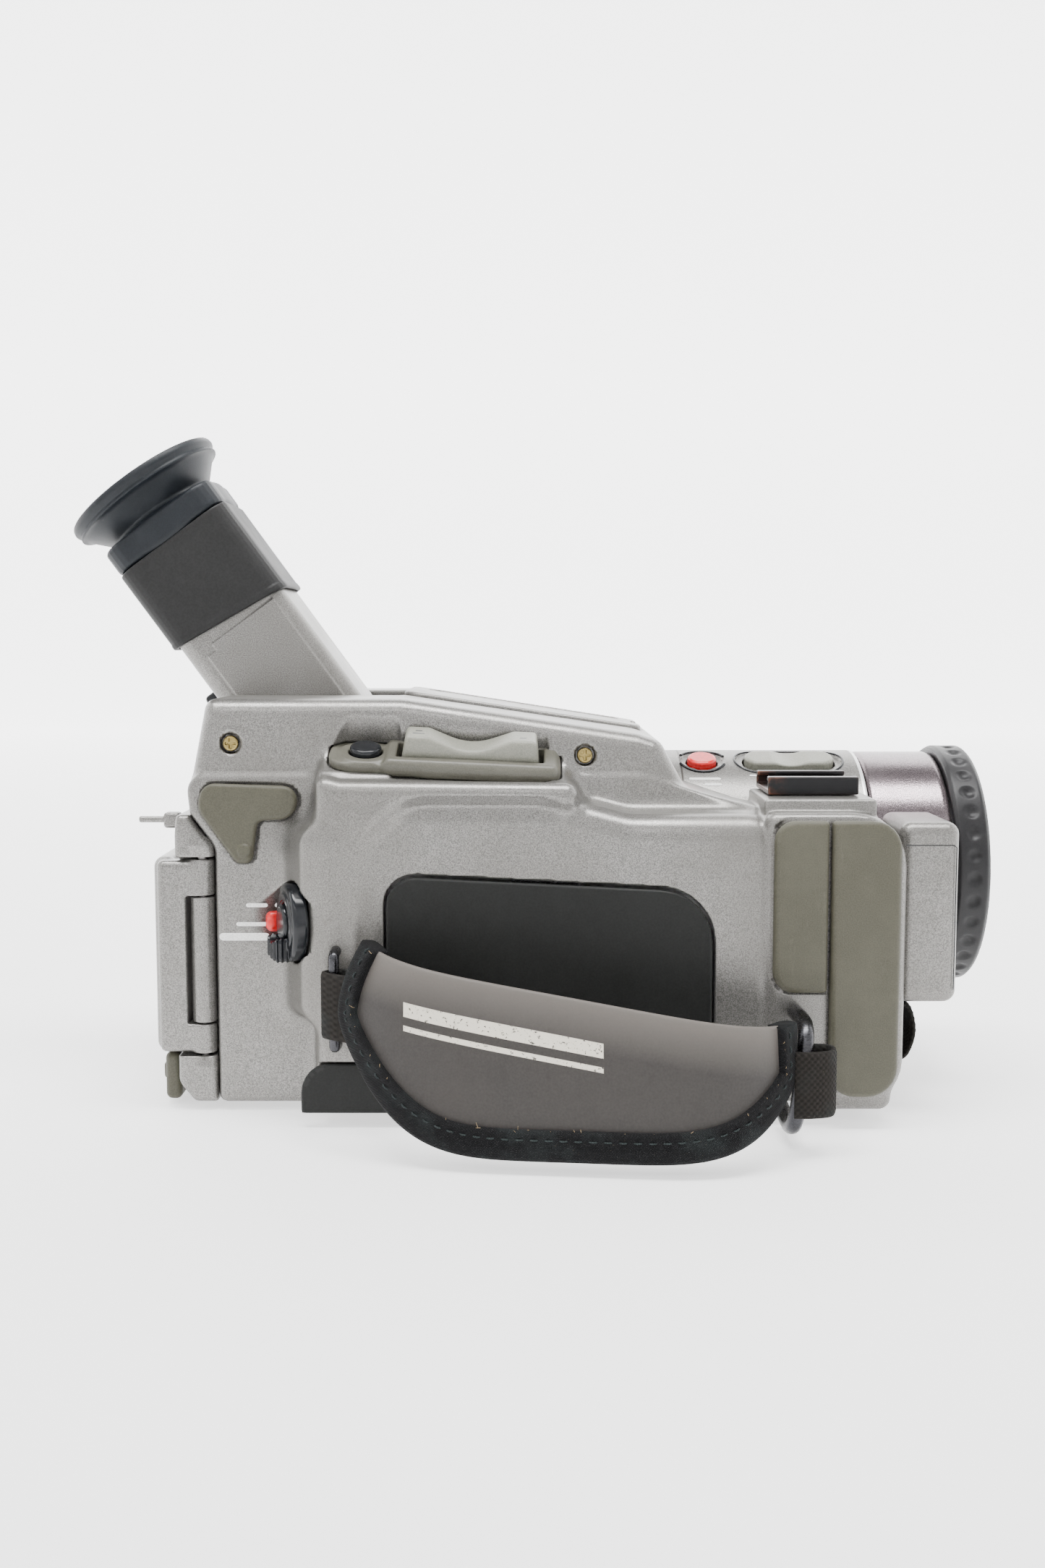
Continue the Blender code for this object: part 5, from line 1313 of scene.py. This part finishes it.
def strap_binding():
    """Black tape folded over the pad's edge, with two ridges and a dashed line of stitches."""
    section = [(-0.9, 0.0), (-0.7, 1.3), (0.1, 2.0), (1.2, 2.25), (2.0, 2.35), (2.7, 2.2),
               (3.6, 2.3), (4.6, 2.35), (5.3, 2.55), (5.9, 2.5), (6.3, 2.2), (6.4, 1.6),
               (6.3, -1.6), (6.0, -2.2), (4.6, -2.3), (1.2, -2.2), (0.1, -2.0), (-0.7, -1.3)]
    enter("strap_binding", swept("strap_binding", section, 420), tape, "webbing", "camcorder_body")
    points, normals, inward, total = pad_edge(900)
    dashes = []
    count = round(total / 3.3)
    for k in range(count):
        start = k / count * 900
        spots = [min(int(round(start + s * 900 / count * 0.62)), 899) for s in (0, 0.33, 0.66, 1)]
        lift = (2.0, 2.62, 2.62, 2.0)
        dashes.append([points[i] + inward[i] * 4.2 + normals[i] * h for i, h in zip(spots, lift)])
    wires("strap_stitches", dashes, 0.19, thread_grey, "webbing", resolution=1)
    rng = np.random.default_rng(7)
    fray = []
    for _ in range(34):
        i = int(rng.integers(900))
        at = points[i] + inward[i] * (6.3 + rng.normal(0, 0.15)) + normals[i] * 2.25
        way = rng.normal(0, 1, 3) * 0.5
        fray.append([at, at + way * 0.5 + normals[i] * 0.1, at + way])
    wires("frayed_threads", fray, 0.05, tan_thread, "webbing", resolution=0)


tan_thread = cloth_tape("tan_thread", (0.3, 0.22, 0.13), 0.5)


WEAVE_CELL, WEAVE_PITCH = 0.32, 1.5


def webbing(node, centre, low, high, plane, thick=1.2):
    """Woven webbing along a centre line, its threads raised in the mesh itself."""
    line = [Vector((x, y, 0)) for x, y in centre]
    line = np.array([tuple(p)[:2] for p in tube_points(line, 40)])
    reach = np.concatenate([[0], np.cumsum(np.linalg.norm(np.diff(line, axis=0), axis=1))])
    count = int(reach[-1] / WEAVE_CELL)
    wanted = np.linspace(0, reach[-1], count)
    line = np.stack([np.interp(wanted, reach, line[:, i]) for i in range(2)], 1)
    along = np.gradient(line, axis=0)
    along /= np.linalg.norm(along, axis=1)[:, None]
    across = np.stack([-along[:, 1], along[:, 0]], 1)
    width = int((high - low) / WEAVE_CELL)
    depth = np.linspace(low, high, width)

    def place(i, j, side):
        ripple = (math.sin(wanted[i] * 2 * math.pi / WEAVE_PITCH)
                  * math.sin(depth[j] * 2 * math.pi / WEAVE_PITCH))
        selvedge = min(1, min(j, width - 1 - j) / 2.5)
        out = side * (thick / 2 * (0.55 + 0.45 * selvedge) + 0.13 * ripple * selvedge)
        u, v = line[i] + across[i] * out
        x, y, z = (u, v, depth[j]) if plane == "xy" else (u, -depth[j], v)
        return x * MM, y * MM, z * MM
    mesh = two_sided(node, place, count - 1, width - 1)
    mesh.shade_smooth()
    enter(node + "_weave", mesh, web_black, "webbing", "camcorder_body", [node])


strap_pad()
strap_binding()
webbing("rear_webbing", [(-40.3, -68.2), (-42, -63.6), (-45, -62.9), (-47.5, -65.4), (-45, -68),
                         (-40.3, -71)], 24, 40, "xy")
webbing("front_webbing", [(62.3, -82.4), (66, -82.6), (70.6, -81.2), (72, -78), (70.4, -75.4),
                          (66, -75.4), (63.2, -75.6)], 9.5, 25, "xy")
webbing("front_tab", [(94.2, 26.6), (97.6, 26.2), (99.2, 20), (97.4, 14), (94.2, 12.4)],
        31, 44, "xz")
front_bar = tube_points([(66, -60.4, 29), (66, -74, 29), (65, -79, 23), (63.6, -79, 10),
                         (63, -74, 5), (63, -60.4, 5.6)], 8)
wires("front_bar", [front_bar], 1.9, dark_steel, "steel", nodes=["front_strap_bar"], resolution=5)
rear_bar = tube_points([(-45, -60.4, 44), (-45, -64.5, 43.6), (-45, -65.4, 41), (-45, -65.4, 24),
                        (-45, -64.5, 21.4), (-45, -60.4, 21)], 8)
wires("rear_bar", [rear_bar], 1.3, dark_steel, "steel", nodes=["rear_strap_bar"], resolution=5)


# ---------------------------------------------------------------- CAD nodes that keep their shape
battery_black = plastic("battery_moulding", (0.03, 0.03, 0.033), 0.5, 0.5, 0.05)
board_green = plastic("circuit_laminate", (0.02, 0.12, 0.05), 0.4, 1.4, 0.03)
chassis_steel = metal("chassis_steel", (0.5, 0.5, 0.5), 0.35)
drum_steel = metal("drum_steel", (0.62, 0.62, 0.63), 0.16, (1, 10, 1), spread=0.05)
display_glass = glass("display_glass", (0.01, 0.012, 0.02), (0.04, 0.05, 0.1))
for look, names in (
        (steel, ("door_pin", "viewfinder_pin")),
        (brass, ("tripod_bush",)),
        (battery_black, ("battery_pack", "sensor_block", "supply_reel", "takeup_reel")),
        (gloss_black, ("optical_tube",)),
        (chassis_steel, ("deck_chassis",)),
        (drum_steel, ("head_drum",)),
        (board_green, ("main_board",)),
        (display_glass, ("viewfinder_display",)),
        (lens_glass, ("zoom_group", "focus_group"))):
    for name in names:
        for slot_of_node in frame["nodes"][name].material_slots:
            slot_of_node.material = look


# ---------------------------------------------------------------- floor, light and camera
def studio():
    """A pale floor that curves up into a wall all round, with a painted glow that is dimmer on the
    viewer's side and lights the object.
    """
    mesh = bpy.data.meshes.new("floor")
    shape = bmesh.new()
    flat, bend, wall_top, count = 1.6, 0.5, 2.6, 64
    profile = [(0.02, 0), (flat / 2, 0), (flat, 0)]
    profile += [(flat + bend * math.sin(a), bend - bend * math.cos(a))
                for a in np.radians(range(10, 91, 10))]
    profile += [(flat + bend, wall_top)]
    rows = [[shape.verts.new((r * math.cos(a), r * math.sin(a), z))
             for a in np.linspace(0, 2 * math.pi, count, endpoint=False)] for r, z in profile]
    shape.faces.new(rows[0])
    for low, high in zip(rows, rows[1:]):
        for i in range(count):
            j = (i + 1) % count
            shape.faces.new((low[i], low[j], high[j], high[i])[::-1])
    shape.to_mesh(mesh)
    shape.free()
    mesh.shade_smooth()
    floor_object = bpy.data.objects.new("floor", mesh)
    bpy.context.scene.collection.objects.link(floor_object)
    look = Look("floor_paper", 0.8)
    look.colour(look.mix(look.noise(60.0), (0.72, 0.72, 0.72), (0.75, 0.75, 0.75)))
    # painted glow: the floor and wall emit light, dim near the viewer and brightest on the far wall
    look.shader.inputs["Emission Color"].default_value = (1, 1, 1, 1)
    near = look.ramp(look.axis("Y"), -560, -60, 0.1, 1.12)
    far = look.ramp(look.axis("Y"), 100, 1500, 0.0, 1.8)
    look.feed(look.shader.inputs["Emission Strength"], look.maths("ADD", near, far))
    mesh.materials.append(look.material)


def lamp(name, place, aim, size, power):
    """A rectangular area light of so many watts, aimed at a point."""
    data = bpy.data.lights.new(name, "AREA")
    data.shape = "RECTANGLE"
    data.size, data.size_y = size
    data.energy = power
    made = bpy.data.objects.new(name, data)
    made.location = place
    made.rotation_euler = (Vector(aim) - Vector(place)).to_track_quat("-Z", "Y").to_euler()
    bpy.context.scene.collection.objects.link(made)


studio()
world = bpy.data.worlds.new("studio")
world.use_nodes = True
world.node_tree.nodes["Background"].inputs["Color"].default_value = (1, 1, 1, 1)
world.node_tree.nodes["Background"].inputs["Strength"].default_value = 0.25
bpy.context.scene.world = world
lamp("top_light", (0.0, -0.15, 1.1), (0, 0, 0.05), (1.0, 0.34), 24)
lamp("front_light", (-0.25, -0.7, 0.85), (0, 0, 0.05), (0.9, 0.14), 2.0)
lamp("back_light", (0.1, 0.95, 0.9), (0, 0.3, 0.05), (1.8, 0.6), 6)

camera = bpy.data.objects.new("camera", bpy.data.cameras.new("camera"))
camera.data.sensor_fit = "VERTICAL"
camera.data.sensor_height = 36
camera.data.lens = 35.7
camera.data.clip_start = 0.01
camera.location = (0, -0.43, 0.12)
camera.rotation_euler = (math.radians(84.5), 0, 0)
bpy.context.scene.collection.objects.link(camera)
bpy.context.scene.camera = camera
